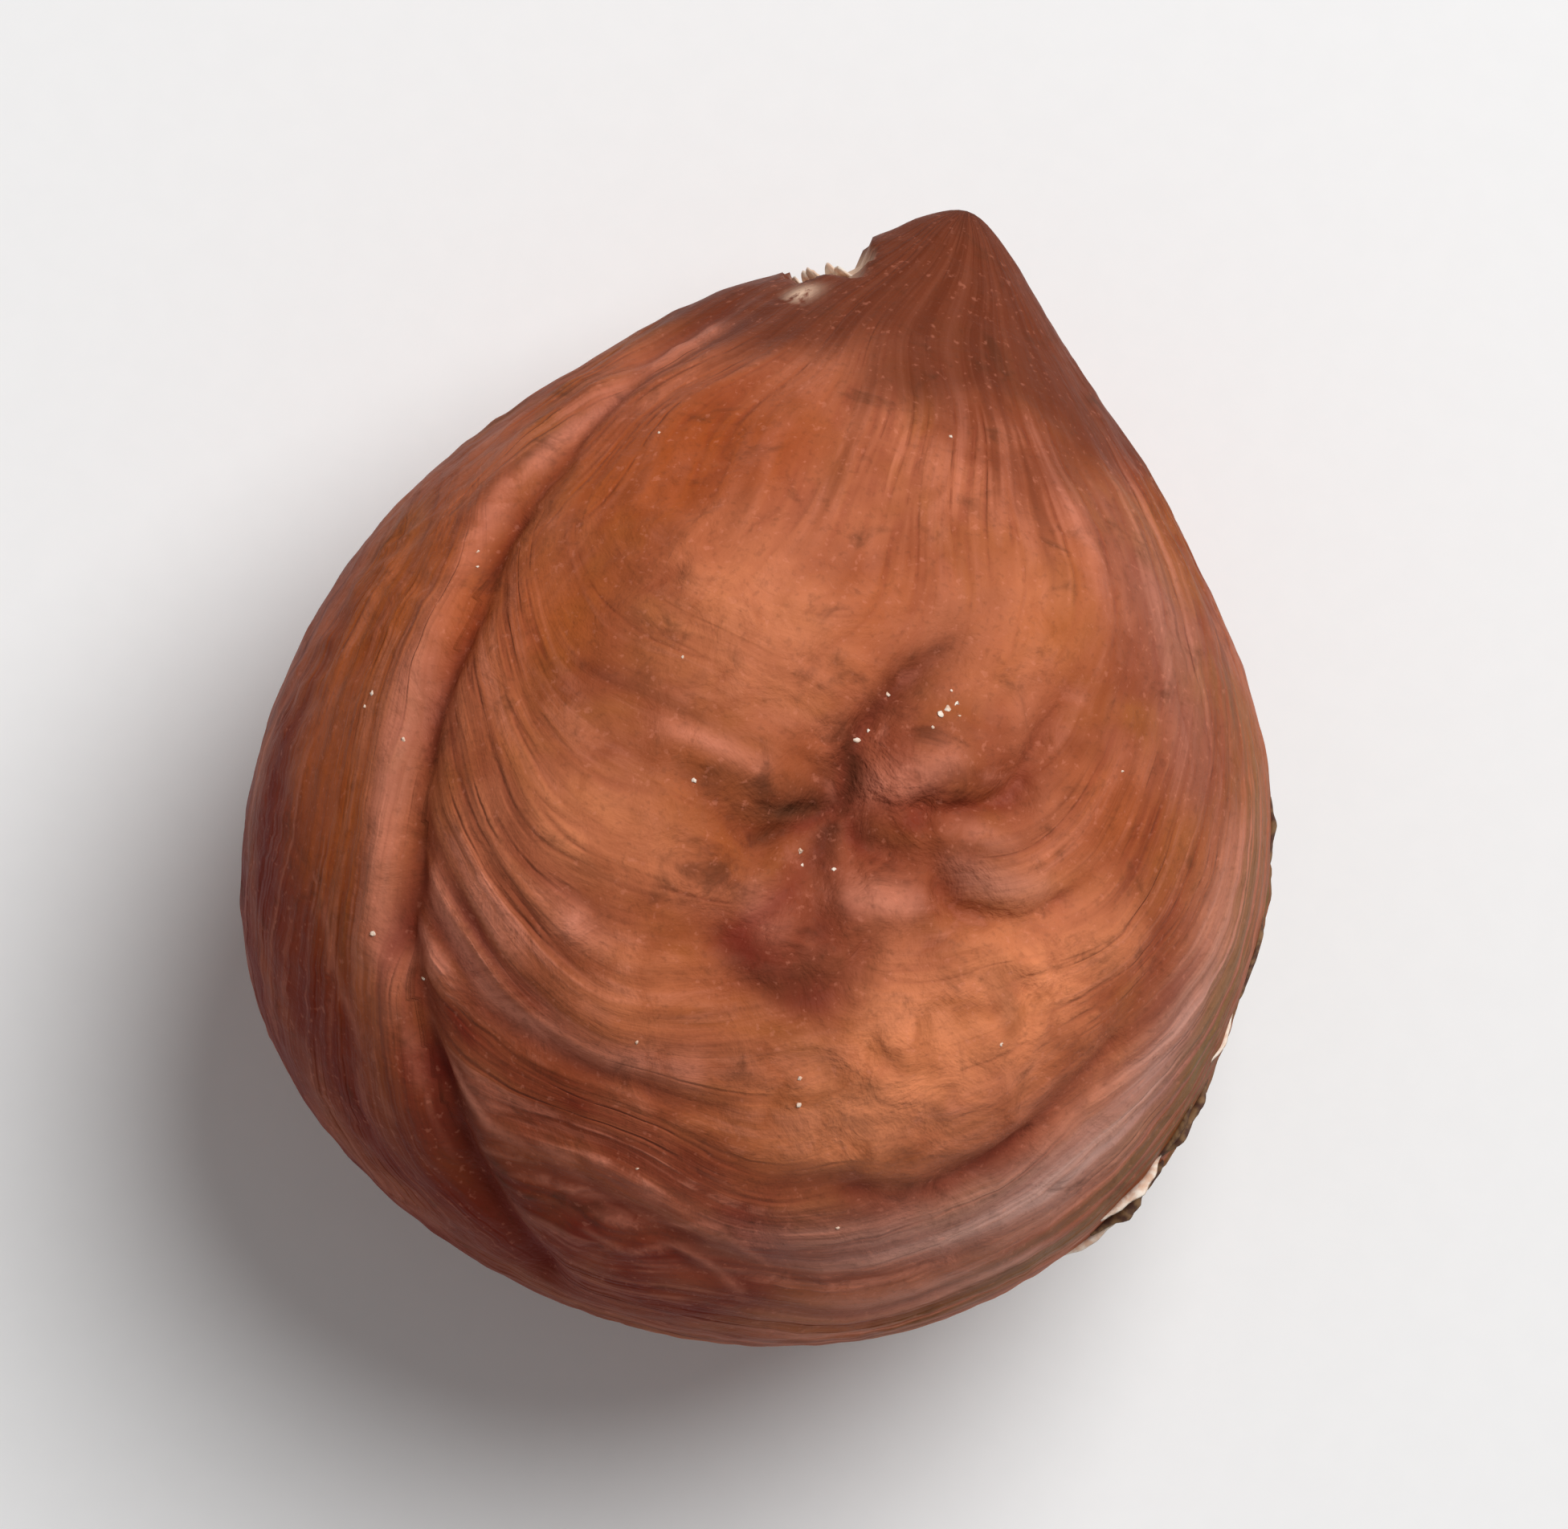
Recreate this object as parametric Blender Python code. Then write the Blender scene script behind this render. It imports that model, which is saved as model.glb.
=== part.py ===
"""A shelled hazelnut kernel that lies on its side, still in its brown skin.

The kernel is one closed body: a round nut drawn out to a blunt tip, with a sunken
middle, a long groove beside a crescent lobe, folds that run into the hollow, and
growth lines that leave the tip and go right round the nut. Every form is a height
above a smooth body, worked out from the sizes below.

Shapes are in millimetres round the middle of the nut: x to the right, y towards the
tip, z up. The finished mesh is in metres and stands on z = 0.
"""

from collections import namedtuple

import bmesh
import bpy
import numpy as np
from mathutils import noise

MM = 0.001
CELLS = 30  # along each side of the ball's six faces
UPPER, LOWER = 1, -1  # the side of the nut that a place given as x and y lies on
RIGHT, LEFT = 1, -1  # the side of a path, as seen from outside the nut

# The smooth body, as seen from above and from the side
BODY_RADIUS = 7.17
TOP_HEIGHT = 6.55
BOTTOM_DEPTH = 6.25
FULLNESS = 2.12

# The blunt tip: how far it stands out, and how it spreads in degrees from its axis
TIP_REACH = 2.04
TIP_BEARING = 2.1
TIP_SPREAD = 11.0
TIP_SHARPNESS = 0.9
TIP_ROUNDING = 5.7

# The notch at the tip's left side, where the skin has torn away
NOTCH_BEARINGS = (-12.7, -6.3)
NOTCH_RISES = (-36.0, 7.0)
NOTCH_EDGE = 0.8  # degrees over which its walls drop
NOTCH_DEPTH = 0.36

# The height at which the flat spot cuts the underside, below the middle
FOOT_LEVEL = -6.18

# The sunken middle: a wide hollow with a small pit in it
HOLLOW_PLACE = (1.0, 0.5)
HOLLOW_WIDTH = 2.5
HOLLOW_DEPTH = 0.66
PIT_WIDTH = 0.8
PIT_DEPTH = 0.2

# Growth lines: planes tilted about the tip cut them out of the body
LINE_TILT = 5.6  # degrees from one line to the next
LINE_HEIGHT = 0.075
LINE_WANDER = 1.5
LINE_START = 4.0  # distance from the tip where they begin
LINE_FULL = 9.0
LINE_CLEAR = (1.9, 3.6)  # distances from the hollow where they are gone and whole
LINE_UNDERNEATH = 0.75  # their strength on the underside
LOBE_WIDTH = 3.2  # how far from the groove the lines of the crescent lobe follow it

# Ribs that fan out from the tip
RIBS = 26
RIB_HEIGHT = 0.045
RIB_START = 1.6
RIB_END = 6.2

# The rough patch of dry outer skin low on the right side
PATCH_BEARING = 98.0
PATCH_RISE = -29.0
PATCH_SIZE = 31.0
PATCH_HEIGHT = 0.06
PATCH_RAGGED = 6.0

# How far the folds' paths waver to each side, over what length, and how much wider
# than their narrow creases the folds are drawn on this plain mesh
WAVER = 0.14
WAVER_LENGTH = 1.3
FOLD_SOFTNESS = 1.4

# Wide swellings and flats: bearing clockwise from the tip, rise above the rim, width, height
Swell = namedtuple("Swell", "bearing rise width height")
SWELLS = (
    Swell(232, 0, 26, 0.30),
    Swell(314, 3, 34, -0.37),
    Swell(338, 3, 10, 0.21),
    Swell(45, 3, 12.5, -0.17),
    Swell(94, 0, 9, -0.11),
    Swell(132, 0, 36, 0.20),
    Swell(275, -5, 22, -0.12),
    Swell(205, -48, 34, 0.26),
    Swell(20, -52, 32, 0.24),
    Swell(300, -45, 30, -0.25),
    Swell(95, -62, 26, -0.20),
)

# Bulges: place, side of the nut, width, height
Bulge = namedtuple("Bulge", "x y level width height")
BULGES = (
    Bulge(-2.3, -0.7, UPPER, 1.9, 0.42),
    Bulge(-1.1, 3.0, UPPER, 1.7, 0.34),
    Bulge(3.0, -2.2, UPPER, 1.7, 0.44),
    Bulge(2.9, 4.2, UPPER, 1.1, 0.22),
    Bulge(2.4, 1.7, UPPER, 0.8, 0.20),
    Bulge(3.6, 0.3, UPPER, 0.7, 0.20),
    Bulge(1.95, -0.5, UPPER, 0.55, 0.14),
    Bulge(0.7, -1.2, UPPER, 0.5, 0.12),
    Bulge(-0.5, 1.0, UPPER, 0.7, 0.10),
    Bulge(-0.6, -2.9, UPPER, 1.2, 0.16),
    Bulge(-3.2, 2.4, LOWER, 1.8, 0.26),
    Bulge(-1.8, -3.6, LOWER, 1.6, 0.22),
    Bulge(3.4, -3.4, LOWER, 1.5, 0.20),
)

# Folds: a valley along a path, its depth at the start, middle and end, and the height
# of the swollen edge on one side of it
Fold = namedtuple("Fold", "places level width depths edge side")
FOLDS = (
    # the long groove beside the crescent lobe
    Fold(
        ((-2.5, 6.9), (-3.5, 5.6), (-4.35, 3.6), (-4.8, 1.7), (-4.75, 0.0), (-4.45, -2.0),
         (-3.85, -4.0), (-2.6, -5.7), (-1.2, -6.8)),
        UPPER, 0.24, (0.08, 0.28, 0.26), 0.20, RIGHT,
    ),
    # from the hollow to the tip's right shoulder, a wide valley with a narrower one beside it
    Fold(
        ((1.1, 0.7), (1.05, 1.5), (1.4, 2.5), (1.9, 3.5), (2.2, 4.6)),
        UPPER, 0.24, (0.26, 0.20, 0.0), 0.04, RIGHT,
    ),
    Fold(
        ((1.3, 0.65), (2.1, 0.85), (2.9, 1.15), (3.4, 1.8), (3.6, 2.9), (3.65, 4.4)),
        UPPER, 0.17, (0.18, 0.18, 0.0), 0.05, RIGHT,
    ),
    # from the hollow to the left
    Fold(
        ((1.2, 0.65), (0.6, 0.15), (0.0, -0.05), (-0.9, 0.2), (-1.5, 0.6)),
        UPPER, 0.20, (0.22, 0.12, 0.0), 0.04, LEFT,
    ),
    # the hollow's right arm, and the curl under the small bulge there
    Fold(
        ((1.2, 0.5), (1.7, 0.02), (2.4, 0.0), (2.8, 0.25)),
        UPPER, 0.17, (0.24, 0.20, 0.04), 0.05, RIGHT,
    ),
    Fold(
        ((2.75, 0.1), (3.1, -0.25), (3.7, -0.22), (4.3, 0.15), (4.95, 1.05)),
        UPPER, 0.16, (0.10, 0.22, 0.05), 0.05, RIGHT,
    ),
    # the hollow's lower arms
    Fold(
        ((1.15, 0.5), (1.05, -0.3), (1.2, -1.0), (1.5, -1.55)),
        UPPER, 0.18, (0.24, 0.18, 0.04), 0.04, RIGHT,
    ),
    Fold(
        ((1.05, -0.3), (0.65, -0.95), (0.2, -1.5), (-0.5, -2.3)),
        UPPER, 0.20, (0.16, 0.16, 0.0), 0.05, LEFT,
    ),
    Fold(
        ((0.3, -2.2), (1.0, -2.1), (1.6, -1.8), (1.95, -1.1), (2.2, -0.9)),
        UPPER, 0.22, (0.05, 0.24, 0.04), 0.05, RIGHT,
    ),
    # the terrace round the lower right bulge, and the fold under the left one
    Fold(
        ((1.3, -4.7), (2.6, -4.5), (3.9, -3.95), (4.75, -3.0), (5.5, -1.5), (5.95, 0.0)),
        UPPER, 0.26, (0.05, 0.22, 0.06), 0.10, LEFT,
    ),
    Fold(
        ((-4.0, -2.6), (-2.9, -3.4), (-1.6, -3.75), (-0.2, -3.85), (1.0, -3.6)),
        UPPER, 0.22, (0.10, 0.16, 0.03), 0.08, LEFT,
    ),
    Fold(
        ((-1.8, -6.0), (-0.4, -5.6), (1.0, -5.9), (2.4, -5.6)),
        UPPER, 0.20, (0.05, 0.12, 0.03), 0.05, LEFT,
    ),
    # the underside
    Fold(
        ((1.2, 7.6), (2.4, 5.2), (3.3, 2.6), (3.3, 0.0), (2.6, -2.6), (1.2, -4.9), (-0.2, -6.4)),
        LOWER, 0.34, (0.08, 0.34, 0.14), 0.18, LEFT,
    ),
    Fold(
        ((-2.4, 5.8), (-4.1, 3.0), (-4.9, 0.2), (-4.5, -2.8), (-2.9, -5.2)),
        LOWER, 0.28, (0.06, 0.28, 0.06), 0.14, LEFT,
    ),
    Fold(
        ((-2.4, -0.8), (-2.9, 0.8), (-2.4, 2.6), (-1.2, 4.4)),
        LOWER, 0.22, (0.03, 0.16, 0.03), 0.06, RIGHT,
    ),
)

# Where the growth lines stand out on the upper side: as bulges, with a strength for a height
LINE_ZONES = (
    Bulge(-2.9, -3.6, UPPER, 2.2, 1.35),
    Bulge(-0.6, -5.4, UPPER, 2.3, 1.0),
    Bulge(3.4, -5.0, UPPER, 2.2, 0.7),
    Bulge(6.3, -0.8, UPPER, 1.9, 0.6),
    Bulge(-6.5, -0.5, UPPER, 2.6, 0.6),
    Bulge(-4.3, 4.5, UPPER, 1.3, 0.35),
)

SKIN_COLOUR = (0.27, 0.085, 0.032, 1.0)
SKIN_ROUGHNESS = 0.45


def heading(bearing, rise):
    """The unit direction at a bearing clockwise from the tip and a rise above the rim."""
    turn, climb = np.radians(bearing), np.radians(rise)
    level = np.cos(climb)
    return np.array((np.sin(turn) * level, np.cos(turn) * level, np.sin(climb)))


def degrees_from(directions, axis):
    return np.degrees(np.arccos(np.clip(directions @ axis, -1.0, 1.0)))


def hill(distance, width):
    """1 at no distance, falling smoothly to nothing past two widths."""
    return np.exp(-((distance / width) ** 2))


def ramp(values, low, high):
    """0 below low, 1 above high, and a smooth rise between them."""
    share = np.clip((values - low) / (high - low), 0.0, 1.0)
    return share * share * (3.0 - 2.0 * share)


def wander(points, size, seed):
    """Smooth random values of about -1 to 1, in patches size millimetres across."""
    shift = 17.3 * seed
    return np.array([2.0 * noise.noise(place) for place in (points / size + shift).tolist()])


def body_radius(directions):
    """How far the smooth body reaches from its middle in each direction."""
    level = np.hypot(directions[:, 0], directions[:, 1]) / BODY_RADIUS
    height = np.where(directions[:, 2] > 0.0, TOP_HEIGHT, BOTTOM_DEPTH)
    upright = np.abs(directions[:, 2]) / height
    radius = (level**FULLNESS + upright**FULLNESS) ** (-1.0 / FULLNESS)
    from_tip = degrees_from(directions, heading(TIP_BEARING, 0.0))
    from_tip = np.hypot(from_tip, TIP_ROUNDING) - TIP_ROUNDING
    radius += TIP_REACH * np.exp(-((from_tip / TIP_SPREAD) ** TIP_SHARPNESS))
    for swell in SWELLS:
        angle = degrees_from(directions, heading(swell.bearing, swell.rise))
        radius += swell.height * hill(angle, swell.width)
    return radius


def on_body(places, level):
    """The points of the smooth body straight above or below places given as x and y."""
    places = np.asarray(places, dtype=float)
    low = np.full(len(places), 0.001)
    high = np.full(len(places), 2.0 * BODY_RADIUS)
    for _ in range(32):
        middle = (low + high) / 2.0
        points = np.column_stack((places, level * middle))
        length = np.linalg.norm(points, axis=1)
        inside = length < body_radius(points / length[:, None])
        low = np.where(inside, middle, low)
        high = np.where(inside, high, middle)
    return np.column_stack((places, level * low))


def distance_from(points, place, level):
    """Each point's distance from the place on the smooth body."""
    return np.linalg.norm(points - on_body([place], level)[0], axis=1)


def smooth_path(corners, steps=5):
    """A curve through the corners, as points."""
    corners = np.asarray(corners, dtype=float)
    before = 2.0 * corners[0] - corners[1]
    after = 2.0 * corners[-1] - corners[-2]
    row = np.vstack((before, corners, after))
    share = np.linspace(0.0, 1.0, steps, endpoint=False)[:, None]
    runs = []
    for a, b, c, d in zip(row[:-3], row[1:-2], row[2:-1], row[3:]):
        bend = (2.0 * a - 5.0 * b + 4.0 * c - d) * share**2 + (3.0 * b - a - 3.0 * c + d) * share**3
        runs.append(b + 0.5 * ((c - a) * share + bend))
    runs.append(corners[-1:])
    return np.vstack(runs)


def near_path(points, path):
    """Each point's distance from the path, its share of the way along, and its side of it."""
    nearest = np.full(len(points), np.inf)
    share = np.zeros(len(points))
    side = np.zeros(len(points))
    runs = np.diff(path, axis=0)
    for index, run in enumerate(runs):
        offset = points - path[index]
        along = np.clip(offset @ run / (run @ run), 0.0, 1.0)
        distance = np.linalg.norm(offset - along[:, None] * run, axis=1)
        nearer = distance < nearest
        nearest[nearer] = distance[nearer]
        share[nearer] = (index + along[nearer]) / len(runs)
        side[nearer] = np.sign(offset[nearer] @ np.cross(run, path[index]))
    return nearest, share, side


def valley(distance, width):
    """1 along a fold's bottom, with a narrow rounded foot and walls that ease out."""
    return np.exp((0.5 * width - np.hypot(distance, 0.5 * width)) / width)


def swollen_edge(distance, width):
    """A roll of skin that stands beside a fold and falls back to nothing in it."""
    return hill(distance - 2.2 * width, 1.8 * width) * ramp(distance, 0.0, 2.2 * width)


def folds(points):
    """All the valleys, each with its swollen edge."""
    sway = [WAVER * wander(points, WAVER_LENGTH, seed) for seed in (11, 12, 13)]
    points = points + np.column_stack(sway)
    rolls = np.zeros(len(points))
    valleys = np.zeros(len(points))
    for fold in FOLDS:
        width = FOLD_SOFTNESS * fold.width
        distance, share, side = near_path(points, on_body(smooth_path(fold.places), fold.level))
        depth = np.interp(share, (0.0, 0.5, 1.0), fold.depths)
        rolls += fold.edge * np.sin(np.pi * share) * (side == fold.side) * swollen_edge(distance, width)
        valleys = np.maximum(valleys, depth * valley(distance, width))
    return rolls - valleys


def hollow_and_bulges(points):
    """The wide forms of the skin: the hollow with its pit, and the bulges round it."""
    distance = distance_from(points, HOLLOW_PLACE, UPPER)
    height = -HOLLOW_DEPTH * hill(distance, HOLLOW_WIDTH) - PIT_DEPTH * hill(distance, PIT_WIDTH)
    for bulge in BULGES:
        distance = distance_from(points, (bulge.x, bulge.y), bulge.level)
        height += bulge.height * hill(distance, bulge.width)
    return height


def tip_point():
    direction = heading(TIP_BEARING, 0.0)
    return direction * body_radius(direction[None, :])[0]


def line_places(points):
    """Where each point lies among the growth lines: degrees across and along, and its reach from the tip."""
    offset = tip_point() - points
    reach = np.hypot(offset[:, 1], offset[:, 2])
    across = np.degrees(np.arctan2(-offset[:, 2], offset[:, 1]))
    along = np.degrees(np.arctan2(offset[:, 0], reach))
    return across, along, reach


def along_the_groove(points, across):
    """The degrees across the growth lines, shifted so that those on the crescent lobe run with the groove."""
    path = on_body(smooth_path(FOLDS[0].places), UPPER)
    distance, share, side = near_path(points, path)
    at_groove = line_places(path)[0]
    shift = np.interp(share, np.linspace(0.0, 1.0, len(path)), at_groove) - at_groove.mean()
    pull = (side == FOLDS[0].side) * np.sqrt(np.sin(np.pi * share)) * hill(distance, LOBE_WIDTH)
    return across - pull * shift


def line_strength(points, reach):
    """How strongly the growth lines stand out: not at all at the tip or in the hollow."""
    patchy = 0.35 + 0.65 * ramp(wander(points, 3.5, 2), -0.4, 0.7)
    clear = ramp(distance_from(points, HOLLOW_PLACE, UPPER), *LINE_CLEAR)
    strength = LINE_UNDERNEATH * ramp(-points[:, 2], -1.0, 2.0)
    for zone in LINE_ZONES:
        distance = distance_from(points, (zone.x, zone.y), zone.level)
        strength = np.maximum(strength, zone.height * hill(distance, zone.width))
    return strength * ramp(reach, LINE_START, LINE_FULL) * patchy * clear


def growth_lines(points):
    """Ridges where planes through the tip cut the body: none at the tip or in the hollow."""
    across, _, reach = line_places(points)
    across = along_the_groove(points, across) + LINE_WANDER * wander(points, 3.0, 1)
    return LINE_HEIGHT * line_strength(points, reach) * np.cos(2.0 * np.pi * across / LINE_TILT)


def tip_ribs(points):
    """Ribs that fan out from the tip over the nut's shoulders."""
    offset = points - tip_point()
    turn = np.degrees(np.arctan2(offset[:, 2], offset[:, 0])) + 5.0 * wander(points, 3.0, 3)
    below = -offset[:, 1]
    middle = 0.5 * (RIB_START + RIB_END)
    strength = ramp(below, RIB_START, middle) * (1.0 - ramp(below, middle, RIB_END))
    return RIB_HEIGHT * strength * np.cos(RIBS * np.radians(turn))


def dry_patch(directions, points):
    """The raised patch of dry skin, with a ragged border and a rough face."""
    angle = degrees_from(directions, heading(PATCH_BEARING, PATCH_RISE))
    angle += PATCH_RAGGED * (wander(points, 2.2, 4) + 0.4 * wander(points, 1.2, 5))
    inside = 1.0 - ramp(angle, PATCH_SIZE - 2.5, PATCH_SIZE + 2.5)
    return PATCH_HEIGHT * inside * (1.0 + 0.5 * wander(points, 1.4, 6))


def tip_notch(directions, points):
    """1 in the notch at the tip's left side, 0 outside it, with ragged walls."""
    ragged = wander(points, 0.5, 8)
    bearing = np.degrees(np.arctan2(directions[:, 0], directions[:, 1])) + 0.8 * ragged
    rise = np.degrees(np.arcsin(directions[:, 2])) + 2.0 * ragged
    left, right = NOTCH_BEARINGS
    low, high = NOTCH_RISES
    between = ramp(bearing, left - NOTCH_EDGE, left) * (1.0 - ramp(bearing, right, right + NOTCH_EDGE))
    return between * ramp(rise, low, low + 12.0) * (1.0 - ramp(rise, high - 2.0, high + 2.0))


def kernel_points(directions):
    """The kernel's surface in each direction from its middle, cut flat where it rests."""
    points = directions * body_radius(directions)[:, None]
    height = hollow_and_bulges(points) + folds(points) + growth_lines(points)
    height += tip_ribs(points) + dry_patch(directions, points)
    height -= NOTCH_DEPTH * tip_notch(directions, points)
    points = points + directions * height[:, None]
    points[:, 2] = np.maximum(points[:, 2], FOOT_LEVEL)
    return points


def place_on_ground(points):
    """The points moved so that their box stands on z = 0 with its middle over the origin."""
    low, high = points.min(axis=0), points.max(axis=0)
    return points - np.array(((low[0] + high[0]) / 2.0, (low[1] + high[1]) / 2.0, low[2]))


def ball(cells):
    """A unit ball of even faces: a cube's grid drawn out to it."""
    bm = bmesh.new()
    bmesh.ops.create_cube(bm, size=2.0)
    bmesh.ops.subdivide_edges(bm, edges=bm.edges[:], cuts=cells - 1, use_grid_fill=True)
    for vertex in bm.verts:
        for axis in range(3):
            vertex.co[axis] = np.tan(vertex.co[axis] * np.pi / 4.0)
        vertex.co.normalize()
    return bm


def skin_material():
    material = bpy.data.materials.new("hazelnut skin")
    material.use_nodes = True
    surface = material.node_tree.nodes["Principled BSDF"]
    surface.inputs["Base Color"].default_value = SKIN_COLOUR
    surface.inputs["Roughness"].default_value = SKIN_ROUGHNESS
    surface.inputs["Metallic"].default_value = 0.0
    return material


def kernel():
    """The whole nut as one closed mesh."""
    mesh = bpy.data.meshes.new("kernel")
    bm = ball(CELLS)
    bm.to_mesh(mesh)
    bm.free()
    directions = np.empty(len(mesh.vertices) * 3, dtype=np.float32)
    mesh.vertices.foreach_get("co", directions)
    directions = directions.reshape(-1, 3).astype(float)
    points = place_on_ground(kernel_points(directions)) * MM
    mesh.vertices.foreach_set("co", points.ravel())
    mesh.shade_smooth()
    mesh.update()
    mesh.materials.append(skin_material())
    return bpy.data.objects.new("kernel", mesh)


def main():
    for leftover in list(bpy.data.objects):
        bpy.data.objects.remove(leftover)
    parts = bpy.data.collections.new("hazelnut")
    bpy.context.scene.collection.children.link(parts)
    parts.objects.link(kernel())


if __name__ == "__main__":
    main()
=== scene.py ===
"""A shelled hazelnut kernel that lies on its side in its brown skin, under soft studio light.

The kernel's finished skin replaces the plain solid of the frame. It has the same forms,
worked out by the same formulas from the same sizes, on a much finer ball of faces, with
fine growth lines, wrinkles and torn edges added. The tones of the skin, painted shade and
painted highlights among them, are kept on the mesh as named values, which its material
mixes with grain and fibres of its own.

Shapes are in millimetres round the middle of the nut: x to the right, y towards the
tip, z up. They are moved into the frame, in metres, at the end.
"""

import math
from collections import namedtuple

import bmesh
import bpy
import numpy as np
from bpy.props import FloatProperty, FloatVectorProperty, IntProperty, PointerProperty
from mathutils import Matrix, Vector, noise


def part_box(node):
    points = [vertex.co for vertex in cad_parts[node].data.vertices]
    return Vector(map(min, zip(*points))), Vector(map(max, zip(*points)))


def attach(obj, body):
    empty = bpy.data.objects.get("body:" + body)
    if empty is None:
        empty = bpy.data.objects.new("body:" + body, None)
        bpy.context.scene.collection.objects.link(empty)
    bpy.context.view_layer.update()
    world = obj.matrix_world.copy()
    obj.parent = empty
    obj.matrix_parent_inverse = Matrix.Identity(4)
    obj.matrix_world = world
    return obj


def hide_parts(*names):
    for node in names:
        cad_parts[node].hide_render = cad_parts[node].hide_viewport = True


bl_info = {
    "name": "Hazelnut",
    "version": (1, 0, 0),
    "blender": (4, 5, 0),
    "location": "View3D > Sidebar > Hazelnut",
    "description": "Builds a hazelnut kernel with its wrinkled skin, and a small studio for it",
    "category": "Add Mesh",
}

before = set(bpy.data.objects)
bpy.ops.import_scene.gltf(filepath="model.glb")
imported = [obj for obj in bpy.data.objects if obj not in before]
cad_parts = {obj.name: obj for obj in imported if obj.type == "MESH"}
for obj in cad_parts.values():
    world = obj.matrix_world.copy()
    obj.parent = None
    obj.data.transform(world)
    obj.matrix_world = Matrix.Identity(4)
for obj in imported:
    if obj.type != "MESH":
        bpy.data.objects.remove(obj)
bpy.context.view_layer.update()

MM = 0.001
UPPER, LOWER = 1, -1  # the side of the nut that a place given as x and y lies on
RIGHT, LEFT = 1, -1  # the side of a path, as seen from outside the nut

# The smooth body, as seen from above and from the side
BODY_RADIUS = 7.17
TOP_HEIGHT = 6.55
BOTTOM_DEPTH = 6.25
FULLNESS = 2.12

# The blunt tip: how far it stands out, and how it spreads in degrees from its axis
TIP_REACH = 2.04
TIP_BEARING = 2.1
TIP_SPREAD = 11.0
TIP_SHARPNESS = 0.9
TIP_ROUNDING = 5.7

# The notch at the tip's left side, where the skin has torn away
NOTCH_BEARINGS = (-12.7, -6.3)
NOTCH_RISES = (-36.0, 7.0)
NOTCH_EDGE = 0.8  # degrees over which its walls drop
NOTCH_DEPTH = 0.36
TORN_PLACE = (-1.5, 7.38)  # where the flesh shows above its edge

# The height at which the flat spot cuts the underside, below the middle
FOOT_LEVEL = -6.18

# The sunken middle: a wide hollow with a small pit in it
HOLLOW_PLACE = (1.0, 0.5)
HOLLOW_WIDTH = 2.5
HOLLOW_DEPTH = 0.66
PIT_WIDTH = 0.8
PIT_DEPTH = 0.2

# Growth lines: planes tilted about the tip cut them out of the body
LINE_TILT = 5.6  # degrees from one broad line to the next
LINE_WANDER = 1.5
LINE_START = 4.0  # distance from the tip where they begin
LINE_FULL = 9.0
LINE_CLEAR = (1.9, 3.6)  # distances from the hollow where they are gone and whole
LINE_UNDERNEATH = 0.75  # their strength on the underside
LOBE_WIDTH = 6.0  # how far from the groove the lines of the crescent lobe follow it
LOBE_LINES = 2.5  # degrees across them for each millimetre from the groove

# Fine lines between the broad ones: degrees across one and along one
HAIR_TILT = 2.4
HAIR_LENGTH = 26.0

# Ribs that fan out from the tip
RIBS = 26
RIB_START = 1.6
RIB_END = 6.2

# The rough patch of dry outer skin low on the right side
PATCH_BEARING = 98.0
PATCH_RISE = -29.0
PATCH_SIZE = 31.0
PATCH_RAGGED = 6.0

# How far the folds' paths waver to each side, and over what length
WAVER = 0.14
WAVER_LENGTH = 1.3

# Wide swellings and flats: bearing clockwise from the tip, rise above the rim, width, height
Swell = namedtuple("Swell", "bearing rise width height")
SWELLS = (
    Swell(232, 0, 26, 0.30),
    Swell(314, 3, 34, -0.37),
    Swell(338, 3, 10, 0.21),
    Swell(45, 3, 12.5, -0.17),
    Swell(94, 0, 9, -0.11),
    Swell(132, 0, 36, 0.20),
    Swell(275, -5, 22, -0.12),
    Swell(205, -48, 34, 0.26),
    Swell(20, -52, 32, 0.24),
    Swell(300, -45, 30, -0.25),
    Swell(95, -62, 26, -0.20),
)

# Bulges: place, side of the nut, width, height
Bulge = namedtuple("Bulge", "x y level width height")
BULGES = (
    Bulge(-2.3, -0.7, UPPER, 1.9, 0.42),
    Bulge(-1.1, 3.0, UPPER, 1.7, 0.34),
    Bulge(3.0, -2.2, UPPER, 1.7, 0.44),
    Bulge(2.9, 4.2, UPPER, 1.1, 0.22),
    Bulge(2.4, 1.7, UPPER, 0.8, 0.20),
    Bulge(3.6, 0.3, UPPER, 0.7, 0.20),
    Bulge(1.95, -0.5, UPPER, 0.55, 0.14),
    Bulge(0.7, -1.2, UPPER, 0.5, 0.12),
    Bulge(-0.5, 1.0, UPPER, 0.7, 0.10),
    Bulge(-0.6, -2.9, UPPER, 1.2, 0.16),
    Bulge(-3.2, 2.4, LOWER, 1.8, 0.26),
    Bulge(-1.8, -3.6, LOWER, 1.6, 0.22),
    Bulge(3.4, -3.4, LOWER, 1.5, 0.20),
)

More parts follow.
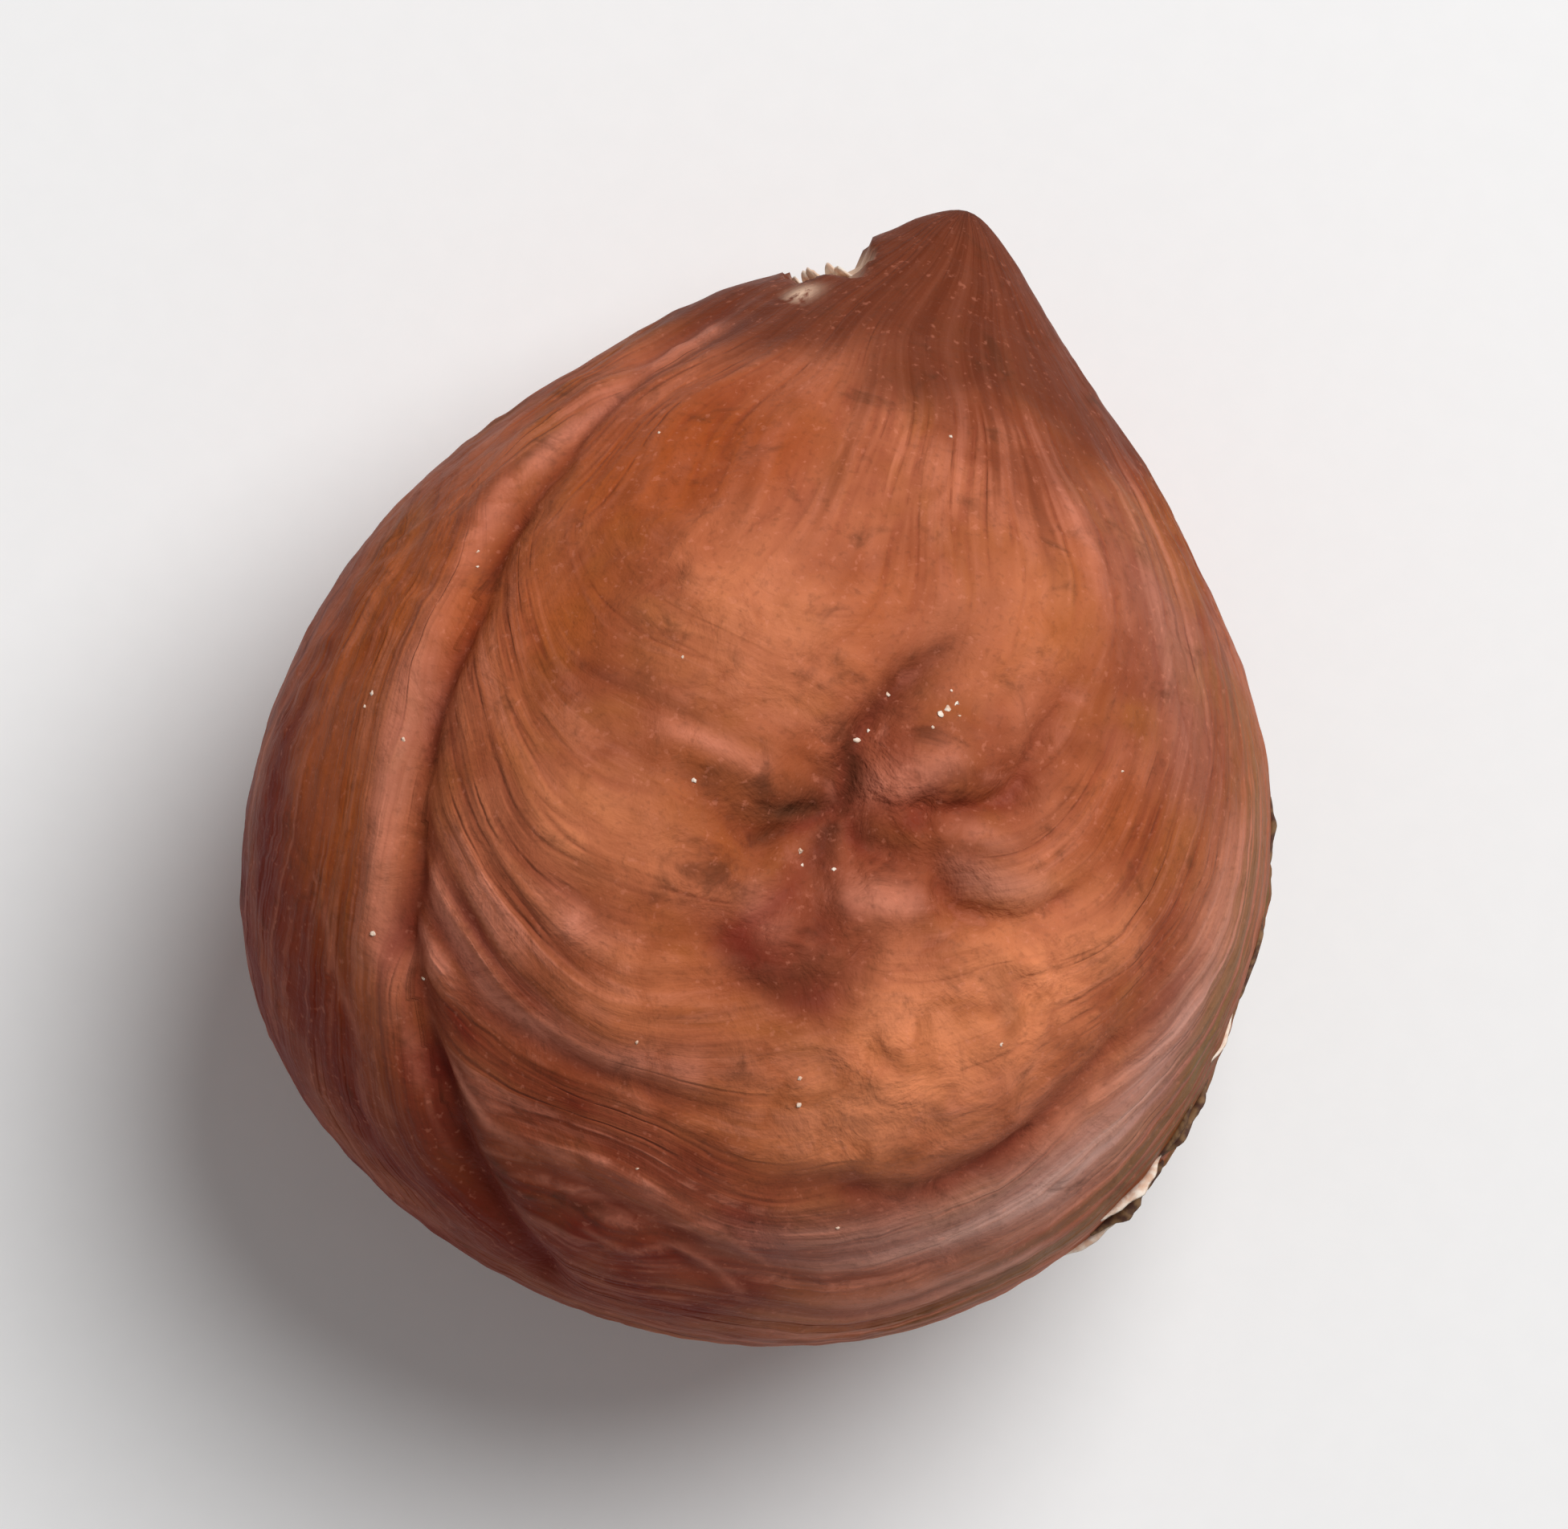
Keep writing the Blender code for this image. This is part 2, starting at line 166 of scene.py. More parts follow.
# Folds: a valley along a path, its depth at the start, middle and end, and the height
# of the swollen edge on one side of it
Fold = namedtuple("Fold", "places level width depths edge side")
FOLDS = (
    # the long groove beside the crescent lobe
    Fold(
        ((-2.5, 6.9), (-3.5, 5.6), (-4.35, 3.6), (-4.8, 1.7), (-4.75, 0.0), (-4.45, -2.0),
         (-3.85, -4.0), (-2.6, -5.7), (-1.2, -6.8)),
        UPPER, 0.24, (0.08, 0.28, 0.26), 0.20, RIGHT,
    ),
    # from the hollow to the tip's right shoulder, a wide valley with a narrower one beside it
    Fold(
        ((1.1, 0.7), (1.05, 1.5), (1.4, 2.5), (1.9, 3.5), (2.2, 4.6)),
        UPPER, 0.24, (0.18, 0.20, 0.0), 0.04, RIGHT,
    ),
    Fold(
        ((1.3, 0.65), (2.1, 0.85), (2.9, 1.15), (3.4, 1.8), (3.6, 2.9), (3.65, 4.4)),
        UPPER, 0.17, (0.06, 0.18, 0.0), 0.05, RIGHT,
    ),
    # from the hollow to the left
    Fold(
        ((1.2, 0.65), (0.6, 0.15), (0.0, -0.05), (-0.9, 0.2), (-1.5, 0.6)),
        UPPER, 0.20, (0.22, 0.12, 0.0), 0.04, LEFT,
    ),
    # the hollow's right arm, and the curl under the small bulge there
    Fold(
        ((1.2, 0.5), (1.7, 0.02), (2.4, 0.0), (2.8, 0.25)),
        UPPER, 0.17, (0.24, 0.20, 0.04), 0.05, RIGHT,
    ),
    Fold(
        ((2.75, 0.1), (3.1, -0.25), (3.7, -0.22), (4.3, 0.15), (4.95, 1.05)),
        UPPER, 0.16, (0.10, 0.22, 0.05), 0.05, RIGHT,
    ),
    # the hollow's lower arms
    Fold(
        ((1.15, 0.5), (1.05, -0.3), (1.2, -1.0), (1.5, -1.55)),
        UPPER, 0.18, (0.24, 0.18, 0.04), 0.04, RIGHT,
    ),
    Fold(
        ((1.05, -0.3), (0.65, -0.95), (0.2, -1.5), (-0.5, -2.3)),
        UPPER, 0.20, (0.16, 0.16, 0.0), 0.05, LEFT,
    ),
    Fold(
        ((0.3, -2.2), (1.0, -2.1), (1.6, -1.8), (1.95, -1.1), (2.2, -0.9)),
        UPPER, 0.22, (0.05, 0.24, 0.04), 0.05, RIGHT,
    ),
    # the terrace round the lower right bulge, and the fold under the left one
    Fold(
        ((1.3, -4.7), (2.6, -4.5), (3.9, -3.95), (4.75, -3.0), (5.5, -1.5), (5.95, 0.0)),
        UPPER, 0.26, (0.05, 0.22, 0.06), 0.10, LEFT,
    ),
    Fold(
        ((-4.0, -2.6), (-2.9, -3.4), (-1.6, -3.75), (-0.2, -3.85), (1.0, -3.6)),
        UPPER, 0.22, (0.10, 0.16, 0.03), 0.08, LEFT,
    ),
    Fold(
        ((-1.8, -6.0), (-0.4, -5.6), (1.0, -5.9), (2.4, -5.6)),
        UPPER, 0.20, (0.05, 0.12, 0.03), 0.05, LEFT,
    ),
    # the underside
    Fold(
        ((1.2, 7.6), (2.4, 5.2), (3.3, 2.6), (3.3, 0.0), (2.6, -2.6), (1.2, -4.9), (-0.2, -6.4)),
        LOWER, 0.34, (0.08, 0.34, 0.14), 0.18, LEFT,
    ),
    Fold(
        ((-2.4, 5.8), (-4.1, 3.0), (-4.9, 0.2), (-4.5, -2.8), (-2.9, -5.2)),
        LOWER, 0.28, (0.06, 0.28, 0.06), 0.14, LEFT,
    ),
    Fold(
        ((-2.4, -0.8), (-2.9, 0.8), (-2.4, 2.6), (-1.2, 4.4)),
        LOWER, 0.22, (0.03, 0.16, 0.03), 0.06, RIGHT,
    ),
)

# Where the growth lines stand out on the upper side: as bulges, with a strength for a height
LINE_ZONES = (
    Bulge(-2.9, -3.4, UPPER, 2.1, 1.4),
    Bulge(-0.8, -5.3, UPPER, 2.1, 0.9),
    Bulge(3.6, -5.6, UPPER, 1.8, 0.55),
    Bulge(6.3, -0.8, UPPER, 1.9, 0.55),
    Bulge(-6.2, -0.5, UPPER, 2.6, 0.45),
    Bulge(-5.3, -3.8, UPPER, 1.6, 0.5),
    Bulge(-4.3, 4.5, UPPER, 1.3, 0.25),
)

# Where the skin is crumpled instead of lined: as bulges, with a share for a height
CRUMPLES = (
    Bulge(1.0, 0.5, UPPER, 2.4, 1.0),
    Bulge(2.9, -2.5, UPPER, 1.9, 0.9),
    Bulge(3.9, -0.9, UPPER, 1.5, 0.9),
    Bulge(-2.2, 3.2, UPPER, 1.9, 0.6),
    Bulge(-5.9, 2.2, UPPER, 2.0, 0.3),
    Bulge(3.0, 3.4, UPPER, 1.5, 0.5),
    Bulge(-0.8, 0.8, LOWER, 2.6, 0.7),
    Bulge(3.2, 3.0, LOWER, 2.0, 0.6),
)

# Small lumps and creases that only the finished skin has, the creases as folds with no swollen edge
LUMPS = (
    Bulge(1.4, 0.9, UPPER, 0.6, 0.12),
    Bulge(1.9, 1.3, UPPER, 0.45, 0.08),
    Bulge(2.5, 1.75, UPPER, 0.45, 0.10),
    Bulge(3.1, 0.65, UPPER, 0.40, 0.12),
    Bulge(3.6, 0.45, UPPER, 0.35, 0.10),
    Bulge(2.3, -0.35, UPPER, 0.35, 0.10),
    Bulge(1.6, -0.75, UPPER, 0.32, 0.10),
    Bulge(0.35, 0.75, UPPER, 0.35, 0.08),
    Bulge(0.3, -0.7, UPPER, 0.45, 0.08),
    Bulge(1.5, -3.14, UPPER, 0.14, 0.06),
    Bulge(2.35, -2.75, UPPER, 0.22, 0.06),
)
CREASES = (
    Fold(((1.9, 0.7), (2.2, 1.0), (2.4, 1.5)), UPPER, 0.11, (0.02, 0.07, 0.02), 0.0, RIGHT),
    Fold(((2.7, 1.0), (3.3, 1.7), (3.6, 2.6), (3.67, 3.3)), UPPER, 0.11, (0.08, 0.11, 0.03), 0.0, RIGHT),
    Fold(((2.85, -0.1), (3.1, -0.3), (3.7, -0.22), (4.35, 0.22)), UPPER, 0.12, (0.14, 0.22, 0.08), 0.0, RIGHT),
    Fold(((1.0, -0.4), (1.15, -0.9), (0.95, -1.5)), UPPER, 0.12, (0.04, 0.09, 0.04), 0.0, RIGHT),
    Fold(((-2.65, 2.43), (-2.21, 2.91), (-1.86, 3.3)), UPPER, 0.10, (0.02, 0.07, 0.02), 0.0, RIGHT),
    Fold(((-0.05, 2.2), (0.04, 2.6), (0.5, 2.95)), UPPER, 0.10, (0.02, 0.06, 0.02), 0.0, RIGHT),
    Fold(((3.53, -1.1), (3.7, -1.5), (4.0, -1.75)), UPPER, 0.10, (0.03, 0.08, 0.02), 0.0, RIGHT),
    Fold(((-0.1, 0.3), (0.4, 0.5), (1.1, 0.6)), UPPER, 0.12, (0.04, 0.09, 0.04), 0.0, RIGHT),
    Fold(((0.0, -0.1), (0.3, 0.0), (0.6, 0.05)), UPPER, 0.11, (0.03, 0.08, 0.03), 0.0, RIGHT),
    Fold(((-0.6, -6.3), (0.2, -5.95), (0.9, -6.2), (1.8, -6.0)), UPPER, 0.13, (0.03, 0.09, 0.03), 0.0, RIGHT),
    Fold(((-0.9, -5.4), (0.1, -5.25), (0.9, -5.45), (1.9, -5.2)), UPPER, 0.12, (0.02, 0.07, 0.02), 0.0, RIGHT),
)

# Dark smudges on the skin: a path, its width and how dark it is at the start, middle and end
Stroke = namedtuple("Stroke", "places level width tones")
STAINS = (
    Stroke(((-1.4, 0.5), (-0.9, 0.6), (-0.1, 0.6), (0.7, 0.7)), UPPER, 0.36, (0.3, 0.6, 0.5)),
    Stroke(((-0.3, 0.25), (0.3, 0.4), (0.9, 0.5)), UPPER, 0.26, (0.6, 1.0, 0.8)),
    Stroke(((0.0, -0.1), (0.45, 0.05)), UPPER, 0.16, (0.6, 0.8, 0.5)),
    Stroke(((1.0, 1.5), (1.08, 1.0), (1.2, 0.4)), UPPER, 0.16, (0.3, 0.8, 0.9)),
    Stroke(((1.1, 1.5), (1.3, 2.2), (1.75, 3.0), (2.1, 4.0)), UPPER, 0.3, (0.1, 0.6, 0.1)),
    Stroke(((1.15, 0.1), (1.1, -0.5), (1.2, -1.1)), UPPER, 0.22, (0.8, 0.7, 0.3)),
    Stroke(((0.4, -2.0), (1.0, -1.8), (1.5, -1.5), (1.7, -1.2)), UPPER, 0.42, (0.3, 0.55, 0.2)),
    Stroke(((1.3, 0.4), (1.8, 0.05), (2.3, 0.1)), UPPER, 0.15, (0.4, 0.6, 0.2)),
    Stroke(((-3.3, -4.5), (-2.9, -5.2), (-2.2, -5.9)), UPPER, 0.5, (0.2, 0.4, 0.2)),
    Stroke(((3.6, -1.1), (3.85, -1.65)), UPPER, 0.2, (0.4, 0.55, 0.3)),
    Stroke(((3.3, 0.6), (3.5, 0.55)), UPPER, 0.16, (0.2, 0.35, 0.2)),
    Stroke(((2.15, -2.8), (2.5, -2.7)), UPPER, 0.16, (0.3, 0.5, 0.3)),
    Stroke(((-1.9, 0.45), (-1.3, 0.55), (-0.6, 0.35)), UPPER, 0.3, (0.1, 0.4, 0.5)),
)

# Painted sheen where the crests, the lobe's edge and the tops of the lumps in the hollow catch the light, as
# strokes
SHEEN_STROKES = (
    Stroke(((-4.2, -2.0), (-3.4, -2.8), (-2.6, -3.3), (-1.4, -3.6), (0.0, -3.4)), UPPER, 0.22, (0.6, 0.95, 0.5)),
    Stroke(((-4.1, -3.2), (-3.6, -4.2), (-2.4, -5.05), (-1.1, -5.35)), UPPER, 0.12, (0.6, 0.9, 0.4)),
    Stroke(((-3.9, -1.4), (-3.2, -2.2), (-2.4, -2.8), (-1.2, -3.0)), UPPER, 0.12, (0.4, 0.6, 0.2)),
    Stroke(((-2.4, -1.75), (-2.1, -1.9), (-1.6, -2.1)), UPPER, 0.24, (0.3, 0.9, 0.3)),
    Stroke(((-0.4, -5.6), (0.4, -5.75), (1.0, -5.5), (1.8, -5.8)), UPPER, 0.08, (0.3, 0.6, 0.3)),
    Stroke(((-0.8, -6.1), (0.0, -6.3), (0.7, -6.0), (1.5, -6.3)), UPPER, 0.08, (0.3, 0.6, 0.3)),
    Stroke(((-5.2, 1.5), (-4.9, 2.7), (-4.4, 4.1), (-3.6, 5.5), (-2.6, 6.6)), UPPER, 0.2, (0.3, 0.6, 0.6)),
    Stroke(((-5.15, 1.8), (-5.15, 0.0), (-4.85, -2.0), (-4.25, -3.9)), UPPER, 0.24, (0.3, 0.4, 0.3)),
    Stroke(((-5.9, -1.0), (-5.6, -2.6), (-4.9, -4.0), (-3.8, -5.2)), UPPER, 0.10, (0.2, 0.4, 0.2)),
    Stroke(((-4.6, -2.6), (-4.3, -3.6), (-3.6, -4.8)), UPPER, 0.10, (0.3, 0.5, 0.2)),
    Stroke(((1.45, 0.95), (1.75, 1.2), (2.2, 1.6)), UPPER, 0.28, (0.5, 0.7, 0.4)),
    Stroke(((1.5, -0.6), (1.9, -0.45), (2.4, -0.35)), UPPER, 0.22, (0.3, 0.45, 0.3)),
    Stroke(((3.0, 0.3), (3.4, 0.2), (3.9, 0.35)), UPPER, 0.17, (0.3, 0.6, 0.4)),
    Stroke(((2.9, 0.75), (3.3, 0.75)), UPPER, 0.22, (0.3, 0.5, 0.3)),
    Stroke(((-1.7, 0.95), (-1.0, 1.05), (-0.3, 0.95)), UPPER, 0.18, (0.3, 0.6, 0.3)),
    Stroke(((0.2, -0.9), (0.6, -1.2)), UPPER, 0.25, (0.3, 0.4, 0.3)),
)

# The frayed edge of dry skin along the right rim, as strokes
FRAYS = (
    Stroke(
        ((5.6, 3.8), (6.5, 2.4), (6.9, 1.0), (6.95, -0.6), (6.7, -2.2), (6.1, -3.7), (5.2, -4.9), (4.2, -5.8)),
        UPPER, 0.8, (0.3, 1.0, 0.5),
    ),
)

# Bright orange spots, painted highlights where the bulges face the light and warmer orange skin in a few other
# places: as bulges, with a tone for a height
ORANGE_HIGHLIGHTS = (
    Bulge(2.8, -2.4, UPPER, 1.4, 1.0),
    Bulge(2.1, -3.5, UPPER, 1.4, 1.0),
    Bulge(4.1, -1.1, UPPER, 1.3, 1.0),
    Bulge(5.0, -0.2, UPPER, 0.9, 0.6),
    Bulge(-2.3, -0.7, UPPER, 1.3, 0.6),
    Bulge(-1.0, 2.7, UPPER, 1.3, 0.6),
    Bulge(2.7, 3.8, UPPER, 1.1, 0.35),
    Bulge(0.5, 4.7, UPPER, 1.2, 0.15),
    Bulge(6.3, 0.7, UPPER, 0.9, 0.3),
    Bulge(-1.2, -2.6, UPPER, 0.9, 0.45),
    Bulge(-2.9, -4.4, UPPER, 0.7, 0.45),
    Bulge(0.2, -4.0, UPPER, 1.0, 0.4),
    Bulge(5.6, -2.0, UPPER, 1.1, 0.4),
    Bulge(-2.5, 1.5, LOWER, 2.2, 0.6),
    Bulge(1.2, -3.8, LOWER, 2.0, 0.6),
    Bulge(0.8, 3.4, LOWER, 1.6, 0.4),
)

# Places where the skin is a deeper yellow brown: as bulges, with a tone for a height
AMBERS = (
    Bulge(-2.6, 4.7, UPPER, 1.6, 1.0),
    Bulge(-3.9, 2.0, UPPER, 1.0, 0.6),
    Bulge(-5.8, 1.4, UPPER, 2.0, 1.0),
    Bulge(-5.8, -1.5, UPPER, 1.8, 1.0),
    Bulge(-5.1, -3.9, UPPER, 1.2, 0.9),
    Bulge(-0.7, 0.5, UPPER, 0.8, 0.7),
    Bulge(0.7, 3.2, UPPER, 1.0, 0.35),
    Bulge(-0.6, -2.6, UPPER, 1.3, 0.4),
    Bulge(4.9, 1.4, UPPER, 1.0, 0.4),
    Bulge(2.8, 3.8, UPPER, 1.2, 0.35),
    Bulge(1.2, -4.0, UPPER, 0.8, 0.5),
    Bulge(2.2, -2.6, UPPER, 0.7, 0.4),
    Bulge(-0.6, -0.6, LOWER, 1.8, 0.6),
)

# Dark maroon spots, painted shade between the lumps of the hollow, along the groove, under the terrace and round
# the lower left and bottom, and a little darker skin at the upper left: as bulges, with a tone for a height
MAROON_SHADE_SPOTS = (
    Bulge(-3.1, -5.2, UPPER, 1.6, 0.8),
    Bulge(-1.0, -6.4, UPPER, 1.5, 1.0),
    Bulge(0.9, -6.6, UPPER, 1.3, 1.0),
    Bulge(-2.4, 4.9, UPPER, 1.6, 0.4),
    Bulge(-4.3, -2.8, UPPER, 0.8, 0.45),
    Bulge(0.9, -1.75, UPPER, 0.8, 1.0),
    Bulge(0.9, 0.2, UPPER, 1.3, 0.4),
    Bulge(2.2, 0.2, UPPER, 0.5, 0.6),
    Bulge(1.1, -0.7, UPPER, 0.5, 0.55),
    Bulge(-4.35, -3.6, UPPER, 0.5, 0.85),
    Bulge(-3.75, -4.7, UPPER, 0.6, 0.9),
    Bulge(1.4, -5.2, UPPER, 0.8, 0.75),
    Bulge(1.7, 0.6, UPPER, 1.2, 0.35),
    Bulge(0.0, -4.9, UPPER, 1.6, 0.4),
    Bulge(2.9, -4.6, UPPER, 0.7, 0.4),
    Bulge(-4.6, -0.4, LOWER, 1.8, 0.6),
    Bulge(2.6, -0.4, LOWER, 1.6, 0.55),
    Bulge(-0.4, -5.6, LOWER, 1.6, 0.6),
)

# Painted shade: dark maroon bands round the left rim and in the valleys of the lower left, as strokes
MAROON_SHADE_BANDS = (
    Stroke(
        ((-6.2, 3.2), (-6.75, 1.4), (-6.8, -0.6), (-6.3, -2.8), (-5.1, -4.6), (-3.3, -6.0), (-1.0, -6.8)),
        UPPER, 1.2, (0.3, 1.0, 0.8),
    ),
    Stroke(
        ((-6.7, 3.4), (-7.2, 1.5), (-7.2, -0.6), (-6.7, -3.0), (-5.5, -5.0), (-3.6, -6.6), (-1.2, -7.5)),
        UPPER, 1.4, (0.3, 1.0, 0.8),
    ),
    Stroke(((-4.0, -2.9), (-3.2, -3.7), (-2.2, -4.2), (-0.8, -4.45)), UPPER, 0.22, (0.5, 0.8, 0.4)),
)

# Bands of dull mauve skin with a painted pale sheen, which stands for the bright floor reflected in the rims and
# the lobe's edge and for light on the lump tops in the hollow, as strokes
MAUVE_SHEENS = (
    Stroke(((1.4, -5.7), (2.8, -5.3), (4.2, -4.6), (5.4, -3.5), (6.2, -2.0), (6.6, -0.2), (6.5, 1.6)), UPPER, 0.7,
          (0.2, 1.0, 0.2)),
    Stroke(((1.8, -6.5), (3.4, -6.0), (5.2, -4.8)), UPPER, 0.5, (0.1, 0.3, 0.5)),
    Stroke(((3.6, 5.6), (4.8, 4.2), (5.6, 2.4)), UPPER, 0.8, (0.1, 0.2, 0.1)),
    Stroke(((2.9, 0.3), (3.4, 0.2), (4.0, 0.35)), UPPER, 0.24, (0.1, 0.2, 0.1)),
    Stroke(((1.6, -0.55), (2.3, -0.4)), UPPER, 0.24, (0.1, 0.12, 0.1)),
    Stroke(((-5.2, 1.9), (-5.15, 0.0), (-4.85, -2.0), (-4.2, -4.2)), UPPER, 0.28, (0.1, 0.25, 0.1)),
    Stroke(((-5.5, -2.5), (-4.0, 0.0), (-3.6, 3.0)), LOWER, 1.2, (0.2, 0.4, 0.2)),
    Stroke(((-3.0, -5.6), (0.0, -5.9), (3.4, -5.0)), LOWER, 1.2, (0.3, 0.5, 0.3)),
)

# Pale crumbs that lie on the skin: place as seen from above, and size across
CRUMBS = (
    (0.95, 1.59, 0.13), (1.17, 2.30, 0.08), (2.03, 2.34, 0.10), (0.62, -0.13, 0.10), (-1.07, 0.40, 0.08),
    (1.14, -0.24, 0.06), (1.90, 2.05, 0.06), (-4.75, -2.9, 0.09), (-5.7, 0.3, 0.08), (-5.1, -0.2, 0.07),
    (-3.9, -3.3, 0.08), (-0.8, -3.3, 0.06), (1.6, -3.5, 0.08), (4.05, -1.9, 0.06), (-1.7, 2.0, 0.05),
    (1.0, 6.0, 0.06), (-0.3, -5.0, 0.06), (2.6, -5.0, 0.05), (-2.9, 4.9, 0.05), (4.6, 2.2, 0.05),
    (1.05, 1.75, 0.06), (2.2, 2.3, 0.05), (2.0, 2.6, 0.05), (0.7, -0.3, 0.05), (-5.75, 0.1, 0.05),
    (1.5, -3.14, 0.07), (1.95, 2.25, 0.09), (2.12, 2.45, 0.07), (-4.85, 2.6, 0.06), (-4.8, 2.4, 0.05),
)

# Loose slivers at the rim and torn bits in the notch: the bearing and rise of both ends, the
# width, how far the middle stands off, and whether it is pale flesh (1) or dark skin (0)
Sliver = namedtuple("Sliver", "start end width lift flesh")
SLIVERS = (
    Sliver((70.0, 2.0), (77.5, 4.0), 0.06, 0.06, 0),
    Sliver((82.9, 3.0), (93.3, 5.0), 0.08, 0.07, 0),
    Sliver((95.0, 7.0), (101.0, 10.0), 0.06, 0.05, 1),
    Sliver((102.8, 5.0), (112.8, 6.0), 0.09, 0.12, 0),
    Sliver((106.0, 9.0), (113.0, 8.0), 0.05, 0.08, 0),
    Sliver((112.7, 7.0), (122.6, 8.0), 0.08, 0.13, 1),
    Sliver((113.0, 4.0), (124.5, 4.0), 0.05, 0.19, 0),
    Sliver((119.0, 3.0), (128.0, 2.0), 0.05, 0.10, 1),
    Sliver((-12.2, 3.0), (-10.6, 6.0), 0.12, 0.24, 1),
    Sliver((-11.4, -2.0), (-9.2, 1.0), 0.10, 0.20, 1),
    Sliver((-10.2, 2.0), (-8.8, 5.0), 0.14, 0.26, 1),
    Sliver((-9.3, 0.0), (-7.9, 2.0), 0.05, 0.20, 1),
    Sliver((-8.2, 2.0), (-6.6, 5.0), 0.12, 0.22, 1),
)


def linear(red, green, blue):
    """A colour given as 0 to 255 on a screen, as the linear values that a material takes."""
    shares = [value / 255.0 for value in (red, green, blue)]
    return [s / 12.92 if s <= 0.04045 else ((s + 0.055) / 1.055) ** 2.4 for s in shares]


def heading(bearing, rise):
    """The unit direction at a bearing clockwise from the tip and a rise above the rim."""
    turn, climb = np.radians(bearing), np.radians(rise)
    level = np.cos(climb)
    return np.array((np.sin(turn) * level, np.cos(turn) * level, np.sin(climb)))


def degrees_from(directions, axis):
    return np.degrees(np.arccos(np.clip(directions @ axis, -1.0, 1.0)))


def hill(distance, width):
    """1 at no distance, falling smoothly to nothing past two widths."""
    return np.exp(-((distance / width) ** 2))


def ramp(values, low, high):
    """0 below low, 1 above high, and a smooth rise between them."""
    share = np.clip((values - low) / (high - low), 0.0, 1.0)
    return share * share * (3.0 - 2.0 * share)


def wander(points, size, seed):
    """Smooth random values of about -1 to 1, in patches size millimetres across."""
    shift = 17.3 * seed
    return np.array([2.0 * noise.noise(place) for place in (points / size + shift).tolist()])


def body_radius(directions):
    """How far the smooth body reaches from its middle in each direction."""
    level = np.hypot(directions[:, 0], directions[:, 1]) / BODY_RADIUS
    height = np.where(directions[:, 2] > 0.0, TOP_HEIGHT, BOTTOM_DEPTH)
    upright = np.abs(directions[:, 2]) / height
    radius = (level**FULLNESS + upright**FULLNESS) ** (-1.0 / FULLNESS)
    from_tip = degrees_from(directions, heading(TIP_BEARING, 0.0))
    from_tip = np.hypot(from_tip, TIP_ROUNDING) - TIP_ROUNDING
    radius += TIP_REACH * np.exp(-((from_tip / TIP_SPREAD) ** TIP_SHARPNESS))
    for swell in SWELLS:
        angle = degrees_from(directions, heading(swell.bearing, swell.rise))
        radius += swell.height * hill(angle, swell.width)
    return radius


def on_body(places, level):
    """The points of the smooth body straight above or below places given as x and y."""
    places = np.asarray(places, dtype=float)
    low = np.full(len(places), 0.001)
    high = np.full(len(places), 2.0 * BODY_RADIUS)
    for _ in range(32):
        middle = (low + high) / 2.0
        points = np.column_stack((places, level * middle))
        length = np.linalg.norm(points, axis=1)
        inside = length < body_radius(points / length[:, None])
        low = np.where(inside, middle, low)
        high = np.where(inside, high, middle)
    return np.column_stack((places, level * low))


def distance_from(points, place, level):
    """Each point's distance from the place on the smooth body."""
    return np.linalg.norm(points - on_body([place], level)[0], axis=1)


def smooth_path(corners, steps=5):
    """A curve through the corners, as points."""
    corners = np.asarray(corners, dtype=float)
    before = 2.0 * corners[0] - corners[1]
    after = 2.0 * corners[-1] - corners[-2]
    row = np.vstack((before, corners, after))
    share = np.linspace(0.0, 1.0, steps, endpoint=False)[:, None]
    runs = []
    for a, b, c, d in zip(row[:-3], row[1:-2], row[2:-1], row[3:]):
        bend = (2.0 * a - 5.0 * b + 4.0 * c - d) * share**2 + (3.0 * b - a - 3.0 * c + d) * share**3
        runs.append(b + 0.5 * ((c - a) * share + bend))
    runs.append(corners[-1:])
    return np.vstack(runs)


def near_path(points, path):
    """Each point's distance from the path, its share of the way along, and its side of it."""
    nearest = np.full(len(points), np.inf)
    share = np.zeros(len(points))
    side = np.zeros(len(points))
    runs = np.diff(path, axis=0)
    for index, run in enumerate(runs):
        offset = points - path[index]
        along = np.clip(offset @ run / (run @ run), 0.0, 1.0)
        distance = np.linalg.norm(offset - along[:, None] * run, axis=1)
        nearer = distance < nearest
        nearest[nearer] = distance[nearer]
        share[nearer] = (index + along[nearer]) / len(runs)
        side[nearer] = np.sign(offset[nearer] @ np.cross(run, path[index]))
    return nearest, share, side


def valley(distance, width):
    """1 along a fold's bottom, with a narrow rounded foot and walls that ease out."""
    return np.exp((0.5 * width - np.hypot(distance, 0.5 * width)) / width)


def swollen_edge(distance, width):
    """A roll of skin that stands beside a fold, falls back to nothing in it and eases out of it."""
    spread = np.where(distance < 2.2 * width, 1.8, 3.4) * width
    return hill(distance - 2.2 * width, spread) * ramp(distance, 0.0, 2.2 * width)


def wavering(points, amount):
    """The points moved a little, so that paths measured from them waver."""
    sway = [amount * wander(points, WAVER_LENGTH, seed) for seed in (11, 12, 13)]
    return points + np.column_stack(sway)


def folds(points, rows):
    """The height of the folds' swollen edges, the depth of their valleys and how much painted shade darkens their
    seams.
    """
    rolls = np.zeros(len(points))
    valleys = np.zeros(len(points))
    seams = np.zeros(len(points))
    for fold in rows:
        distance, share, side = near_path(points, on_body(smooth_path(fold.places), fold.level))
        depth = np.interp(share, (0.0, 0.5, 1.0), fold.depths)
        rolls += fold.edge * np.sin(np.pi * share) * (side == fold.side) * swollen_edge(distance, fold.width)
        valleys = np.maximum(valleys, depth * valley(distance, fold.width))
        # each seam's painted shade, darker the deeper the fold
        seam = 0.7 * hill(distance, 0.7 * fold.width) + 0.3 * hill(distance, 1.8 * fold.width)
        seams = np.maximum(seams, np.minimum(depth / 0.2, 1.0) * seam)
    return rolls, valleys, seams


